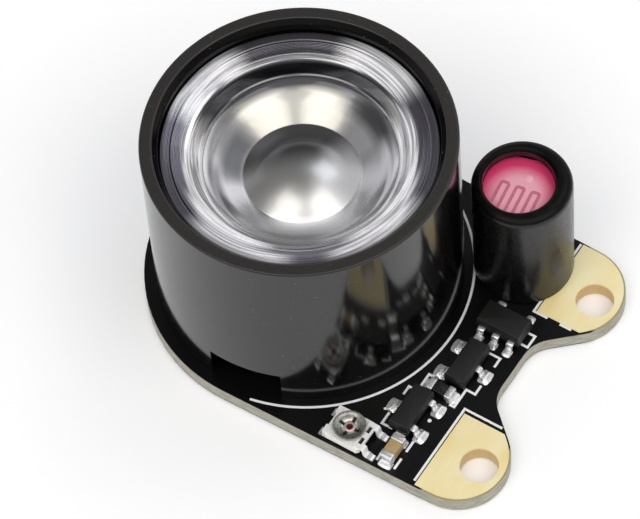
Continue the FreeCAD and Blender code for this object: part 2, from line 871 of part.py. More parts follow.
def draw_bent_path(sketch, points, bend):
    """Centre line of a lead: out, down through two equal bends, and along the land."""
    start, knee, heel, toe = [FreeCAD.Vector(u.number, v.number, 0) for u, v in points]
    outward = 1 if toe.x > start.x else -1
    slope = math.atan2(knee.y - heel.y, abs(heel.x - knee.x))
    trim = bend.number * math.tan(slope / 2)
    fall = (heel - knee).normalize()
    flat = (toe - heel).normalize()
    knee_in = knee - flat * trim
    knee_out = knee + fall * trim
    heel_in = heel - fall * trim
    heel_out = heel + flat * trim
    sketch.addGeometry(Part.LineSegment(start, knee_in), False)
    sketch.addGeometry(arc_between(knee_in, knee_out, bend.number, -outward), False)
    sketch.addGeometry(Part.LineSegment(knee_out, heel_in), False)
    sketch.addGeometry(arc_between(heel_in, heel_out, bend.number, outward), False)
    sketch.addGeometry(Part.LineSegment(heel_out, toe), False)
    # An arc that bends to the right is stored from its far end.
    knee_ends = (2, 1) if outward > 0 else (1, 2)
    heel_ends = (1, 2) if outward > 0 else (2, 1)
    for first, first_end, second, second_end in (
            (0, 2, 1, knee_ends[0]), (1, knee_ends[1], 2, 1),
            (2, 2, 3, heel_ends[0]), (3, heel_ends[1], 4, 1)):
        sketch.addConstraint(Sketcher.Constraint(
            "Tangent", first, first_end, second, second_end))
    sketch.addConstraint(Sketcher.Constraint("Horizontal", 0))
    sketch.addConstraint(Sketcher.Constraint("Horizontal", 4))
    pin_point(sketch, 0, 1, *points[0])
    pin_point(sketch, 4, 2, *points[3])
    for edge in (1, 3):
        set_radius(sketch, edge, bend)
    # The slanted run aims at the knee and the heel, which stay as construction points.
    for corner, (u, v) in ((knee, points[1]), (heel, points[2])):
        mark = sketch.addGeometry(Part.Point(corner), True)
        pin_point(sketch, mark, 1, u, v)
        sketch.addConstraint(Sketcher.Constraint("PointOnObject", mark, 1, 2))


def add_lead_row(body, name, side, count, pitch, lead):
    """Sweep one lead out of the body's side, +1 or -1 along X, and repeat it in a row."""
    def out(value):
        return value if side > 0 else -value

    run = pitch.times(count - 1).half()
    path = new_sketch(body, name + "_path", "XZ_Plane", run)
    points = [
        (out(lead["root_x"]), lead["root_z"]),
        (out(lead["root_x"] + lead["shoulder"]), lead["root_z"]),
        (out(lead["foot_x"]), lead["sole_z"]),
        (out(lead["toe_x"]), lead["sole_z"]),
    ]
    if lead["bend"] is None:
        draw_mitred_path(path, points)
    else:
        draw_bent_path(path, points, lead["bend"])
    section = new_sketch(body, name + "_section", "YZ_Plane", out(lead["root_x"]))
    half_width = lead["width"].half()
    half_thick = lead["thickness"].half()
    draw_rectangle(section, -run - half_width, -run + half_width,
                   lead["root_z"] - half_thick, lead["root_z"] + half_thick)
    sweep = body.newObject("PartDesign::AdditivePipe", name + "_sweep")
    sweep.Profile = section
    sweep.Spine = (path, [])
    if lead["bend"] is None:
        sweep.Transition = "Right corner"
    document.recompute()
    if count > 1:
        repeat_along_y(body, sweep, count, pitch, name + "_row")


# Solder joints: a thin land with a hollow-faced ramp up to the end of a terminal

def add_joint_row(body, name, side, count, pitch, joint):
    def out(value):
        return value if side > 0 else -value

    land = size("land_thickness")
    run = pitch.times(count - 1).half()
    profile = new_sketch(body, name + "_profile", "XZ_Plane", run)
    corners = [
        (out(joint["inner"]), NOTHING),
        (out(joint["outer"]), NOTHING),
        (out(joint["outer"]), land),
        (out(joint["face"]), land + joint["rise"]),
        (out(joint["face"]), land),
        (out(joint["inner"]), land),
    ]
    draw_outline(profile, corners, {2: (size("solder_curve_radius"), -side)})
    ramp = pad(body, profile, joint["width"], name + "_ramp", symmetric=True)
    if count > 1:
        repeat_along_y(body, ramp, count, pitch, name + "_row")


# Chip capacitor and chip resistor: a block with a metal cap over each end

def make_chip_part(name, x, y, turn, length, width, height):
    seat = board_top() + size("land_thickness")
    wall = size("terminal_wall")
    half_length = length.half()
    half_width = width.half()
    core = new_body(name + "_body")
    block = new_sketch(core, name + "_block", "XY_Plane", wall)
    draw_rectangle(block, wall - half_length, half_length - wall,
                   wall - half_width, half_width - wall)
    pad(core, block, height - wall - wall, name + "_ceramic")
    place(core, x, y, seat, turn)
    caps = new_body(name + "_terminals")
    for side, label in ((1, "_right"), (-1, "_left")):
        far_end = half_length if side > 0 else -half_length
        mouth = half_length - size("terminal_length")
        mouth = mouth if side > 0 else -mouth
        left, right = (mouth, far_end) if side > 0 else (far_end, mouth)
        shell = new_sketch(caps, name + label + "_shell", "XY_Plane")
        draw_rectangle(shell, left, right, -half_width, half_width)
        pad(caps, shell, height, name + label + "_cap")
    hollow = new_sketch(caps, name + "_hollow", "XY_Plane", wall)
    draw_rectangle(hollow, wall - half_length, half_length - wall,
                   wall - half_width, half_width - wall)
    pocket(caps, hollow, height - wall - wall, name + "_inside", reverse=True)
    place(caps, x, y, seat, turn)
    joint = {
        "inner": half_length - size("chip_land_tuck"),
        "face": half_length,
        "outer": half_length + size("chip_land_reach"),
        "width": size("chip_land_width"),
        "rise": size("solder_rise") + size("solder_rise"),
    }
    solder = new_body(name + "_solder")
    for side, label in ((1, "_right"), (-1, "_left")):
        add_joint_row(solder, name + label, side, 1, NOTHING, joint)
    place(solder, x, y, board_top(), turn)
    return [core, caps, solder]


# Moulded packages with stepped leads

def make_package(name, x, y, turn, package, right_leads, left_leads):
    """Make a package's body, leads and solder; each row of leads is (count, pitch)."""
    land = size("land_thickness")
    seat = board_top() + land
    half_length = package["length"].half()
    half_width = package["width"].half()
    parting = size("package_standoff") + size("package_parting")
    draft = size("package_draft")
    core = new_body(name + "_body")
    outline = new_sketch(core, name + "_outline", "XY_Plane", parting)
    draw_rectangle(outline, -half_width, half_width, -half_length, half_length)
    upper = package["height"] - parting
    pad(core, outline, upper, name + "_upper", draft=-draft)
    lower_outline = new_sketch(core, name + "_lower_outline", "XY_Plane", parting)
    draw_rectangle(lower_outline, -half_width, half_width, -half_length, half_length)
    lower = size("package_parting")
    pad(core, lower_outline, lower, name + "_lower", reverse=True, draft=-draft)
    place(core, x, y, seat, turn)

    half_thick = size("lead_thickness").half()
    toe = package["span"].half()
    lead = {
        "root_x": half_width,
        "root_z": parting,
        "foot_x": toe - size("lead_foot_length"),
        "toe_x": toe,
        "sole_z": half_thick,
        "shoulder": size("lead_shoulder"),
        "bend": None,
        "width": size("lead_width"),
        "thickness": size("lead_thickness"),
    }
    joint = {
        "inner": toe - size("lead_foot_length") - size("lead_thickness"),
        "face": toe,
        "outer": toe + package["land_reach"],
        "width": package["land_width"],
        "rise": size("solder_rise"),
    }
    leads = new_body(name + "_leads")
    solder = new_body(name + "_solder")
    for side, label, (count, pitch) in ((1, "_right", right_leads), (-1, "_left", left_leads)):
        add_lead_row(leads, name + label, side, count, pitch, lead)
        add_joint_row(solder, name + label, side, count, pitch, joint)
    place(leads, x, y, seat, turn)
    place(solder, x, y, board_top(), turn)
    return [core, leads, solder]


def transistor_sizes():
    return {
        "length": size("transistor_length"),
        "width": size("transistor_width"),
        "height": size("transistor_height"),
        "span": size("transistor_span"),
        "land_width": size("transistor_land_width"),
        "land_reach": size("transistor_land_reach"),
    }


def driver_sizes():
    return {
        "length": size("driver_length"),
        "width": size("driver_width"),
        "height": size("driver_height"),
        "span": size("driver_span"),
        "land_width": size("driver_land_width"),
        "land_reach": size("driver_land_reach"),
    }


def make_emitter_leads():
    """Two broad leads from the frame towards the barrel's notches, and their solder."""
    land = size("land_thickness")
    gap = size("emitter_clearance")
    half_thick = size("emitter_lead_thickness").half()
    lead = {
        "root_x": size("emitter_frame_radius") + gap,
        "root_z": size("emitter_lead_height"),
        "foot_x": size("emitter_lead_foot"),
        "toe_x": size("emitter_lead_toe"),
        "sole_z": land + half_thick,
        "shoulder": size("emitter_lead_bend").times(2),
        "bend": size("emitter_lead_bend"),
        "width": size("emitter_lead_width"),
        "thickness": size("emitter_lead_thickness"),
    }
    joint = {
        "inner": size("emitter_lead_foot"),
        "face": size("emitter_lead_toe"),
        "outer": size("emitter_lead_toe") + size("chip_land_reach"),
        "width": size("emitter_lead_width"),
        "rise": size("solder_rise"),
    }
    leads = new_body("emitter_leads")
    solder = new_body("emitter_solder")
    for side, label in ((1, "emitter_right"), (-1, "emitter_left")):
        add_lead_row(leads, label, side, 1, NOTHING, lead)
        add_joint_row(solder, label, side, 1, NOTHING, joint)
    for body in (leads, solder):
        place(body, NOTHING, NOTHING, board_top())
        turn_with_sheet(body, "notch_angle")
    return [leads, solder]


# Photoresistor in its sleeve

def sleeve_foot():
    return board_top() + size("land_thickness")


def sleeve_top():
    return board_top() + size("sleeve_height")


def sensor_face():
    lip = size("sleeve_lip_thickness") + size("sleeve_lip_ramp")
    return sleeve_top() - lip - size("sensor_fit_gap")


def make_photoresistor_sleeve():
    """Shrunk tube whose top edge has drawn in over the rim of the sensor."""
    body = new_body("photoresistor_sleeve")
    top = sleeve_top() - sleeve_foot()
    outer = size("sleeve_radius")
    drop = size("sleeve_edge_drop")
    step = size("sleeve_edge_inset")
    lip = top - size("sleeve_lip_thickness")
    throat = size("sleeve_throat_radius")
    profile = new_sketch(body, "sleeve_profile", "XZ_Plane")
    draw_outline(profile, [
        (sleeve_bore(), NOTHING),
        (outer, NOTHING),
        (outer, top - drop),
        (outer - step, top - step),
        (outer - drop, top),
        (throat, top),
        (throat, lip),
        (sleeve_bore(), lip - size("sleeve_lip_ramp")),
    ])
    revolve(body, profile, "sleeve_tube")
    mouth = new_sketch(body, "sleeve_mouth_circle", "XY_Plane", top)
    draw_circle(mouth, -size("sleeve_mouth_shift_x"), -size("sleeve_mouth_shift_y"),
                size("sleeve_mouth_radius"))
    opened = pocket(body, mouth, size("sleeve_lip_thickness") + size("sleeve_lip_ramp"),
                    "sleeve_mouth")
    bevel_top_rim(body, opened, top, size("sleeve_mouth_radius"),
                  size("sleeve_mouth_bevel"), "sleeve_mouth_lip")
    x, y = sensor_place()
    place(body, x, y, sleeve_foot())
    return body


def make_photoresistor_body():
    """Ceramic disc with a flat on each side."""
    body = new_body("photoresistor_body")
    radius = sleeve_bore() - size("sensor_fit_gap")
    half_flat = size("sensor_flat_width").half()
    corner = other_leg(radius, half_flat)
    outline = new_sketch(body, "photoresistor_outline", "XY_Plane")
    draw_outline(outline, [
        (-corner, -half_flat),
        (corner, -half_flat),
        (corner, half_flat),
        (-corner, half_flat),
    ], {1: (radius, 1), 3: (radius, 1)})
    pad(body, outline, size("sensor_thickness"), "photoresistor_disc")
    x, y = sensor_place()
    place(body, x, y, sensor_face() - size("sensor_thickness"))
    turn_with_sheet(body, "sensor_angle")
    return body


def make_photoresistor_leads():
    body = new_body("photoresistor_leads")
    ends = new_sketch(body, "photoresistor_wire_ends", "XY_Plane")
    for x, y in sensor_wires():
        draw_circle(ends, x, y, size("sensor_wire_radius"))
    pad(body, ends, sensor_face() - size("sensor_thickness"), "photoresistor_wires")
    return body


# Trimmer

def trimmer_place(body, height):
    """Stand a piece of the trimmer beside the barrel, outside the near screw hole's line."""
    x = size("barrel_radius") - size("trimmer_inset")
    y = -(ear_y() + size("trimmer_outset"))
    place(body, x, y, board_top() + height)


def plate_foot():
    return size("land_thickness") + size("clip_thickness")


def plate_top():
    return plate_foot() + size("trimmer_plate_thickness")


def make_trimmer_base():
    body = new_body("trimmer_base")
    half_length = size("trimmer_length").half()
    half_width = size("trimmer_width").half()
    outline = new_sketch(body, "trimmer_base_outline", "XY_Plane")
    draw_rectangle(outline, -half_length, half_length, -half_width, half_width)
    plate = pad(body, outline, size("trimmer_plate_thickness"), "trimmer_plate")
    corners = upright_edges(plate.Shape, lambda x, y: True)
    bevel = body.newObject("PartDesign::Chamfer", "trimmer_corners")
    bevel.Base = (plate, corners)
    bind(bevel, "Size", size("trimmer_corner_chamfer"))
    document.recompute()
    hole = new_sketch(body, "trimmer_base_hole", "XY_Plane")
    draw_circle(hole, NOTHING, NOTHING, size("eyelet_radius") + size("eyelet_clearance"))
    pocket(body, hole, size("trimmer_plate_thickness"), "trimmer_base_bore", reverse=True)
    trimmer_place(body, plate_foot())
    return body


def make_trimmer_end_clips():
    """Two folded clips that hug the plate's left edge and stand on their lands."""
    body = new_body("trimmer_end_clips")
    wall = size("clip_thickness")
    inner = -size("trimmer_length").half()
    outer = inner - wall
    tip = inner + size("clip_reach")
    low = NOTHING
    high = wall + size("trimmer_plate_thickness") + wall
    profile = new_sketch(body, "clip_profile", "XZ_Plane", size("clip_pitch").half())
    draw_outline(profile, [
        (outer, low), (tip, low), (tip, low + wall), (inner, low + wall),
        (inner, high - wall), (tip, high - wall), (tip, high), (outer, high),
    ])
    clip = pad(body, profile, size("clip_width"), "clip_fold", symmetric=True)
    repeat_along_y(body, clip, 2, size("clip_pitch"), "clip_pair")
    trimmer_place(body, size("land_thickness"))
    return body


def make_trimmer_wiper_plate():
    """Flat plate with two windows, so that it reads as an H, and two legs to the board."""
    body = new_body("trimmer_wiper_plate")
    start = size("wiper_start")
    window = size("wiper_window_length")
    bar = size("wiper_bar_width")
    end = start + bar + window + bar
    half_width = size("wiper_width").half()
    top = plate_top() - size("land_thickness")
    flat = new_sketch(body, "wiper_outline", "XY_Plane", top)
    draw_rectangle(flat, start, end, -half_width, half_width)
    pad(body, flat, size("wiper_thickness"), "wiper_flat")
    opening = new_sketch(body, "wiper_window", "XY_Plane", top)
    centre = size("wiper_window_pitch").half()
    half_height = size("wiper_window_height").half()
    for middle in (-centre, centre):
        draw_window(opening, start + bar, start + bar + window,
                    middle - half_height, middle + half_height)
    pocket(body, opening, size("wiper_thickness"), "wiper_windows", reverse=True)
    half_thick = size("wiper_thickness").half()
    leg = {
        "root_x": end,
        "root_z": top + half_thick,
        "foot_x": size("wiper_leg_foot"),
        "toe_x": size("wiper_leg_toe"),
        "sole_z": half_thick,
        "shoulder": size("wiper_leg_bend"),
        "bend": size("wiper_leg_bend"),
        "width": size("wiper_leg_width"),
        "thickness": size("wiper_thickness"),
    }
    add_lead_row(body, "wiper_leg", 1, 2, size("wiper_leg_pitch"), leg)
    trimmer_place(body, size("land_thickness"))
    return body


def draw_window(sketch, left, right, bottom, top):
    """Add one more rectangle to a sketch that may hold others."""
    first = len(sketch.Geometry)
    corners = [(left, bottom), (right, bottom), (right, top), (left, top)]
    spots = [FreeCAD.Vector(u.number, v.number, 0) for u, v in corners]
    for index in range(4):
        sketch.addGeometry(Part.LineSegment(spots[index], spots[(index + 1) % 4]), False)
    for index in range(4):
        sketch.addConstraint(Sketcher.Constraint(
            "Coincident", first + index, 2, first + (index + 1) % 4, 1))
    for index, (u, v) in enumerate(corners):
        pin_point(sketch, first + index, 1, u, v)


def make_trimmer_rotor():
    """Dished disc with a cross slot, free to turn on the eyelet."""
    body = new_body("trimmer_rotor")
    bore = size("eyelet_radius") + size("eyelet_clearance")
    floor = size("rotor_floor_radius")
    outer = size("rotor_radius")
    thick = size("rotor_thickness")
    rise = size("rotor_rise")
    profile = new_sketch(body, "rotor_profile", "XZ_Plane")
    draw_outline(profile, [
        (bore, NOTHING),
        (floor, NOTHING),
        (outer, rise),
        (outer, rise + thick),
        (outer - thick, rise + thick),
        (floor - thick.half(), thick),
        (bore, thick),
    ])
    revolve(body, profile, "rotor_dish")
    slots = new_sketch(body, "rotor_slots", "XY_Plane", rise + thick)
    half_width = size("rotor_slot_width").half()
    half_length = size("rotor_slot_length").half()
    draw_outline(slots, [
        (-half_length, -half_width), (-half_width, -half_width), (-half_width, -half_length),
        (half_width, -half_length), (half_width, -half_width), (half_length, -half_width),
        (half_length, half_width), (half_width, half_width), (half_width, half_length),
        (-half_width, half_length), (-half_width, half_width), (-half_length, half_width),
    ])
    pocket(body, slots, rise + thick.half(), "rotor_cross")
    trimmer_place(body, plate_top() + size("rotor_lift"))
    return body


def make_trimmer_eyelet():
    """Rivet through plate and rotor, with a head above the rotor's floor."""
    body = new_body("trimmer_eyelet")
    shank = size("eyelet_radius")
    head = size("eyelet_head_radius")
    under = plate_top() + size("rotor_lift").times(2) + size("rotor_thickness")
    profile = new_sketch(body, "eyelet_profile", "XZ_Plane")
    draw_outline(profile, [
        (NOTHING, NOTHING),
        (shank, NOTHING),
        (shank, under),
        (head, under),
        (shank, under + size("eyelet_head_height")),
        (NOTHING, under + size("eyelet_head_height")),
    ])
    revolve(body, profile, "eyelet_rivet")
    trimmer_place(body, NOTHING)
    return body


def make_trimmer_solder():
    body = new_body("trimmer_solder")
    edge = size("trimmer_length").half() + size("clip_thickness")
    clip_joint = {
        "inner": edge - size("clip_reach"),
        "face": edge,
        "outer": edge + size("chip_land_reach"),
        "width": size("clip_width"),
        "rise": size("solder_rise"),
    }
    add_joint_row(body, "clip_joint", -1, 2, size("clip_pitch"), clip_joint)
    leg_joint = {
        "inner": size("wiper_leg_foot"),
        "face": size("wiper_leg_toe"),
        "outer": size("wiper_leg_toe") + size("transistor_land_reach"),
        "width": size("wiper_leg_width"),
        "rise": size("solder_rise"),
    }
    add_joint_row(body, "leg_joint", 1, 2, size("wiper_leg_pitch"), leg_joint)
    trimmer_place(body, NOTHING)
    return body


def make_everything():
    parts = [make_circuit_board()]
    parts += make_power_contacts()
    parts += [make_lens_barrel(), make_lens(), make_reflector()]
    parts += [make_emitter_slug(), make_emitter_frame(), make_emitter_die(), make_emitter_dome()]
    parts += make_emitter_leads()
    parts += [make_photoresistor_sleeve(), make_photoresistor_body(), make_photoresistor_leads()]
    parts += make_chip_part("capacitor", beyond_barrel("capacitor_reach"),
                            -(ear_y() + size("capacitor_outset")), 90.0,
                            size("capacitor_length"), size("capacitor_width"),
                            size("capacitor_height"))
    parts += make_chip_part("resistor", beyond_barrel("resistor_reach"), size("resistor_y"), 0.0,
                            size("resistor_length"), size("resistor_width"),
                            size("resistor_height"))
    pair = (2, size("transistor_pitch"))
    single = (1, NOTHING)
    parts += make_package("sensor_transistor", beyond_barrel("sensor_transistor_reach"),
                          size("sensor_transistor_y"), 0.0, transistor_sizes(), pair, single)
    parts += make_package("switch_transistor", beyond_barrel("switch_transistor_reach"),
                          size("switch_transistor_y"), 180.0, transistor_sizes(), pair, single)
    three = (3, size("driver_pitch"))
    two = (2, size("driver_pitch").times(2))
    parts += make_package("driver", beyond_barrel("driver_reach"), size("driver_y"), 270.0,
                          driver_sizes(), three, two)
    parts += [make_trimmer_base(), make_trimmer_end_clips(), make_trimmer_wiper_plate()]
    parts += [make_trimmer_rotor(), make_trimmer_eyelet(), make_trimmer_solder()]
    return parts


def check_document(parts):
    """Stop if any object failed, or if a part's shape is missing or broken."""
    document.recompute()
    failed = [item.Name for item in document.Objects
              if "Invalid" in item.State or "Error" in item.State]
    if failed:
        raise RuntimeError("failed objects: " + ", ".join(failed))
    for part in parts:
        if part.Shape.isNull() or not part.Shape.isValid() or not part.Shape.Solids:
            raise RuntimeError("bad shape: " + part.Label)


fill_sheet()
all_parts = make_everything()
check_document(all_parts)
os.makedirs("parts", exist_ok=True)
for part in all_parts:
    part.Shape.exportStep("parts/%s.step" % part.Label)
    box = part.Shape.BoundBox
    print("%-26s solids %2d  x %6.2f %6.2f  y %6.2f %6.2f  z %6.2f %6.2f" % (
        part.Label, len(part.Shape.Solids),
        box.XMin, box.XMax, box.YMin, box.YMax, box.ZMin, box.ZMax))
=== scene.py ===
# %% [markdown]
# # An infrared illuminator, dressed for its portrait
#
# The frame comes in as the CAD model made it: every piece at its place, in metres, with
# the barrel's axis on the Z axis and the underside of the board at zero. This script adds
# what a camera sees: polished black plastic, gold, solder, white print and a silvery lens.
# Shapes are worked out in millimetres and turned to metres once, when a mesh is made.

import math

import bmesh
import bpy
import numpy as np
from mathutils import Matrix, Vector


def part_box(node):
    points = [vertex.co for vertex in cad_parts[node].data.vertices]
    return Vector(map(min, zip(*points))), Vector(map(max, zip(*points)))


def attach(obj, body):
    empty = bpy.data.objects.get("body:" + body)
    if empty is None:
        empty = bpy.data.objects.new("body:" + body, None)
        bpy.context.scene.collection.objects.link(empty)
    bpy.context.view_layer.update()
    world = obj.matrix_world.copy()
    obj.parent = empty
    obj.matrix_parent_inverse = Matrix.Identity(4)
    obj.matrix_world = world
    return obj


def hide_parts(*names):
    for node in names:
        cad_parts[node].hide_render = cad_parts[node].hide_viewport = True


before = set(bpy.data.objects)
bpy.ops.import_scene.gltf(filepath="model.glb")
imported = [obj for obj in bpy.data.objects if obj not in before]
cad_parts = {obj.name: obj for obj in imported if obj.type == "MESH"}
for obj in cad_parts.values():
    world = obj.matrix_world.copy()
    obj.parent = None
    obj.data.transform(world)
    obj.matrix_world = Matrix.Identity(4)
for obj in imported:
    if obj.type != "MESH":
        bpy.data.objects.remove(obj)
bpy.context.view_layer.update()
MM = 0.001


def span(node):
    """Lowest and highest corner of a solid in mm; rounding sheds what round facets cut off."""
    return np.round(np.array([tuple(corner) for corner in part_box(node)]) / MM, 3)


BOARD_TOP = span("circuit_board")[1, 2]
BARREL_RADIUS, BARREL_TOP = span("lens_barrel")[1, [0, 2]]
TRIMMER = span("trimmer_rotor").mean(axis=0)[:2]
SENSOR = span("photoresistor_sleeve").mean(axis=0)[:2]
SENSOR_FACE = span("photoresistor_body")[1, 2]
print("board at", BOARD_TOP, "rim at", BARREL_TOP, "adjuster at", TRIMMER, "sensor at", SENSOR)

# %% [markdown]
# ## Colours and nodes
#
# Colours are written as people read them off a screen, in sRGB hex. A shader works in
# linear light, so one function turns each of them. A second function adds any node: its
# own options are keywords, and its sockets come in a dictionary that holds numbers or
# the outputs of other nodes. Every material below is made with these two. Two patterns
# come back in many of them: colours laid over one another, each through a mask of its
# own, and the distance from an upright axis, for whatever is turned or rolled.

# %% Helpers for materials
def linear(hex_colour):
    """Turn "#rrggbb" into linear red, green, blue and an alpha of 1."""
    coded = np.array([int(hex_colour[i:i + 2], 16) for i in (1, 3, 5)]) / 255
    light = np.where(coded <= 0.04045, coded / 12.92, ((coded + 0.055) / 1.055) ** 2.4)
    return (*[float(value) for value in light], 1.0)


def add(tree, kind, sockets=None, **options):
    """Add a node, set its options, then fill or link its input sockets."""
    made = tree.nodes.new("ShaderNode" + kind)
    for option, value in options.items():
        setattr(made, option, value)
    for socket, value in (sockets or {}).items():
        target = made.inputs[socket]
        if isinstance(value, bpy.types.NodeSocket):
            tree.links.new(value, target)
        else:
            target.default_value = value
    return made


def painted(tree, colour, coats):
    """Lay coats over a colour, each a mask and a hex colour.

    A Mix node keeps its factor at socket 0 and its two colours at 6 and 7.
    """
    for mask, over in coats:
        colour = add(tree, "Mix", {0: mask, 6: colour, 7: linear(over)}, data_type="RGBA").outputs[2]
    return colour


def off_axis(tree, x=0.0, y=0.0):
    """Flat offset from an upright axis at x, y in mm, and the length of that offset."""
    place = add(tree, "TexCoord").outputs["Object"]
    about = add(tree, "VectorMath", {0: place, 1: (x * MM, y * MM, 0)}, operation="SUBTRACT")
    flat = add(tree, "VectorMath", {0: about.outputs[0], 1: (1, 1, 0)}, operation="MULTIPLY").outputs[0]
    return flat, add(tree, "VectorMath", {0: flat}, operation="LENGTH").outputs["Value"]


def new_material(name):
    """Give an empty material and its node tree."""
    material = bpy.data.materials.new(name)
    material.use_nodes = True
    material.node_tree.nodes.clear()
    return material, material.node_tree


def finish_material(tree, sockets):
    """End a tree with one Principled shader and its output."""
    shader = add(tree, "BsdfPrincipled", sockets)
    add(tree, "OutputMaterial", {"Surface": shader.outputs["BSDF"]})


def per_mm(size):
    """Texture scale, per metre, of a pattern whose features are this many mm across."""
    return 1.0 / (size * MM)


print("black plastic is", [round(v, 4) for v in linear("#0d0c0c")[:3]])

# %% [markdown]
# ## Meshes
#
# Each new piece is a closed skin made of rings of points. A turned piece is one profile
# carried round an axis, a lead is a small section carried along a bent line, and a
# package is a stack of rounded rectangles. All of them end in the same two steps: an
# array of rings becomes faces, then doubled points are merged, which closes seams and
# poles, and the faces are made to point outwards. Hard corners keep their edge because
# edges sharper than a limit are marked, and everything else is shaded smooth. A piece may
# have a second finish on some of its faces, such as the sooty bore of the barrel.

# %% Rings to a mesh
def skin(rings, loop_rings=False, caps=False):
    """Join neighbouring rings by quads.

    rings is an array of rings, points and x, y, z. Point j of ring i joins point j of
    ring i + 1, and each ring closes on itself. loop_rings also joins the last ring to
    the first, and caps fills the two end rings with one flat face each.
    """
    count, around, _ = rings.shape
    i = np.arange(count if loop_rings else count - 1)[:, None]
    j = np.arange(around)[None, :]
    following = (i + 1) % count
    beside = (j + 1) % around
    quads = np.stack(np.broadcast_arrays(i * around + j, i * around + beside,
                                         following * around + beside, following * around + j), axis=-1)
    faces = quads.reshape(-1, 4).tolist()
    if caps:
        faces.append(list(range(around)))
        faces.append(list(range((count - 1) * around, count * around)))
    return rings.reshape(-1, 3), faces


def make_piece(name, skins, material, body, stands_for=(), sharp=35.0):
    """Put one or more skins, in mm, into one object that rides on a CAD body."""
    points = np.concatenate([points for points, _ in skins]) * MM
    starts = np.cumsum([0] + [len(points) for points, _ in skins])
    faces = [[corner + int(start) for corner in face]
             for start, (_, some) in zip(starts, skins) for face in some]
    mesh = bpy.data.meshes.new(name)
    mesh.from_pydata(points.tolist(), [], faces)
    work = bmesh.new()
    work.from_mesh(mesh)
    bmesh.ops.remove_doubles(work, verts=work.verts, dist=2e-7)
    bmesh.ops.recalc_face_normals(work, faces=work.faces)
    work.to_mesh(mesh)
    work.free()
    mesh.shade_smooth()
    mesh.set_sharp_from_angle(angle=math.radians(sharp))
    mesh.materials.append(material)
    piece = bpy.data.objects.new(name, mesh)
    bpy.context.scene.collection.objects.link(piece)
    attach(piece, body)
    if stands_for:
        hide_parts(*stands_for)
    print("%-24s %6d faces" % (name, len(mesh.polygons)))
    return piece


def also_finish(piece, material, chosen):
    """Give a second finish to the faces whose centres, in mm, pass a test."""
    mesh = piece.data
    mesh.materials.append(material)
    centres = np.empty(3 * len(mesh.polygons))
    mesh.polygons.foreach_get("center", centres)
    picked = chosen(centres.reshape(-1, 3) / MM)
    mesh.polygons.foreach_set("material_index", picked.astype(np.int32))
    mesh.update()
    print("%-24s %6d faces in %s" % (piece.name, picked.sum(), material.name))


print("a three-sided prism has", len(skin(np.zeros((2, 3, 3)), caps=True)[1]), "faces")

# %% [markdown]
# ## Profiles
#
# What is moulded, stamped or shrunk has no perfectly sharp corner, and a rounded one
# catches a thin line of light. So a profile is drawn with plain corners and softened
# afterwards, and a lathe carries it round.

# %% Profiles
def softened(corners, cuts, steps=4, closed=False):
    """Round the corners of a line, all at once.

    Each corner C becomes the curve (1-t)^2 A + 2t(1-t) C + t^2 B, where A and B lie on
    its two edges at the corner's cut from C. One more point beyond A and beyond B keeps
    the flat runs flat when they are shaded. The ends of an open line stay.
    """
    corners = np.asarray(corners, float)
    cuts = np.broadcast_to(np.asarray(cuts, float), (len(corners),))[:, None]
    before = np.roll(corners, 1, axis=0) - corners
    after = np.roll(corners, -1, axis=0) - corners
    before /= np.maximum(np.linalg.norm(before, axis=1, keepdims=True), 1e-9)
    after /= np.maximum(np.linalg.norm(after, axis=1, keepdims=True), 1e-9)
    a = corners + before * cuts
    b = corners + after * cuts
    t = np.linspace(0, 1, steps + 1)[None, :, None]
    curve = (1 - t) ** 2 * a[:, None] + 2 * t * (1 - t) * corners[:, None] + t ** 2 * b[:, None]
    support = 0.35 * cuts
    line = np.concatenate([(a + before * support)[:, None], curve,
                           (b + after * support)[:, None]], axis=1)
    dimensions = corners.shape[1]
    if closed:
        return line.reshape(-1, dimensions)
    return np.concatenate([corners[:1], line[1:-1].reshape(-1, dimensions), corners[-1:]])


def turned(profile, columns=160, centre=(0.0, 0.0)):
    """Carry a profile of radius and height round the vertical: x = r cos a, y = r sin a."""
    angle = np.linspace(0, 2 * np.pi, columns, endpoint=False)
    radius = profile[:, 0][:, None]
    x = centre[0] + radius * np.cos(angle)
    y = centre[1] + radius * np.sin(angle)
    z = np.broadcast_to(profile[:, 1][:, None], x.shape)
    return np.stack([x, y, z], axis=-1)


print("a softened corner has", len(softened([(0, 0), (1, 0), (1, 1)], [0, 0.1, 0])) - 2, "points")

# %% [markdown]
# ## The camera
#
# The photograph was taken from above the gold ears, at about 58 degrees, with a long
# lens. The numbers come from matching the board's outline, both holes and the barrel's
# two rims. The camera is made early, so that everything after it can be judged from it.
# Two directions in plan follow from it and serve the lamps, the sky and the lens: away
# from the camera, and to its right, which is the side of the light sensor.

# %% Camera
def stand(data, across, up, back, centre):
    """Link an object, named as its data, whose own X, Y and Z axes and origin are given."""
    place = np.eye(4)
    place[:3, 0], place[:3, 1], place[:3, 2], place[:3, 3] = across, up, back, centre
    made = bpy.data.objects.new(data.name, data)
    made.matrix_world = Matrix(place.tolist())
    bpy.context.scene.collection.objects.link(made)
    return made


def turned_axes(angle, first, second):
    """Matrix that turns two of three axes into one another: cos on the diagonal, sin beside it."""
    matrix = np.eye(3)
    matrix[[first, second], [first, second]] = math.cos(angle)
    matrix[first, second], matrix[second, first] = -math.sin(angle), math.sin(angle)
    return matrix


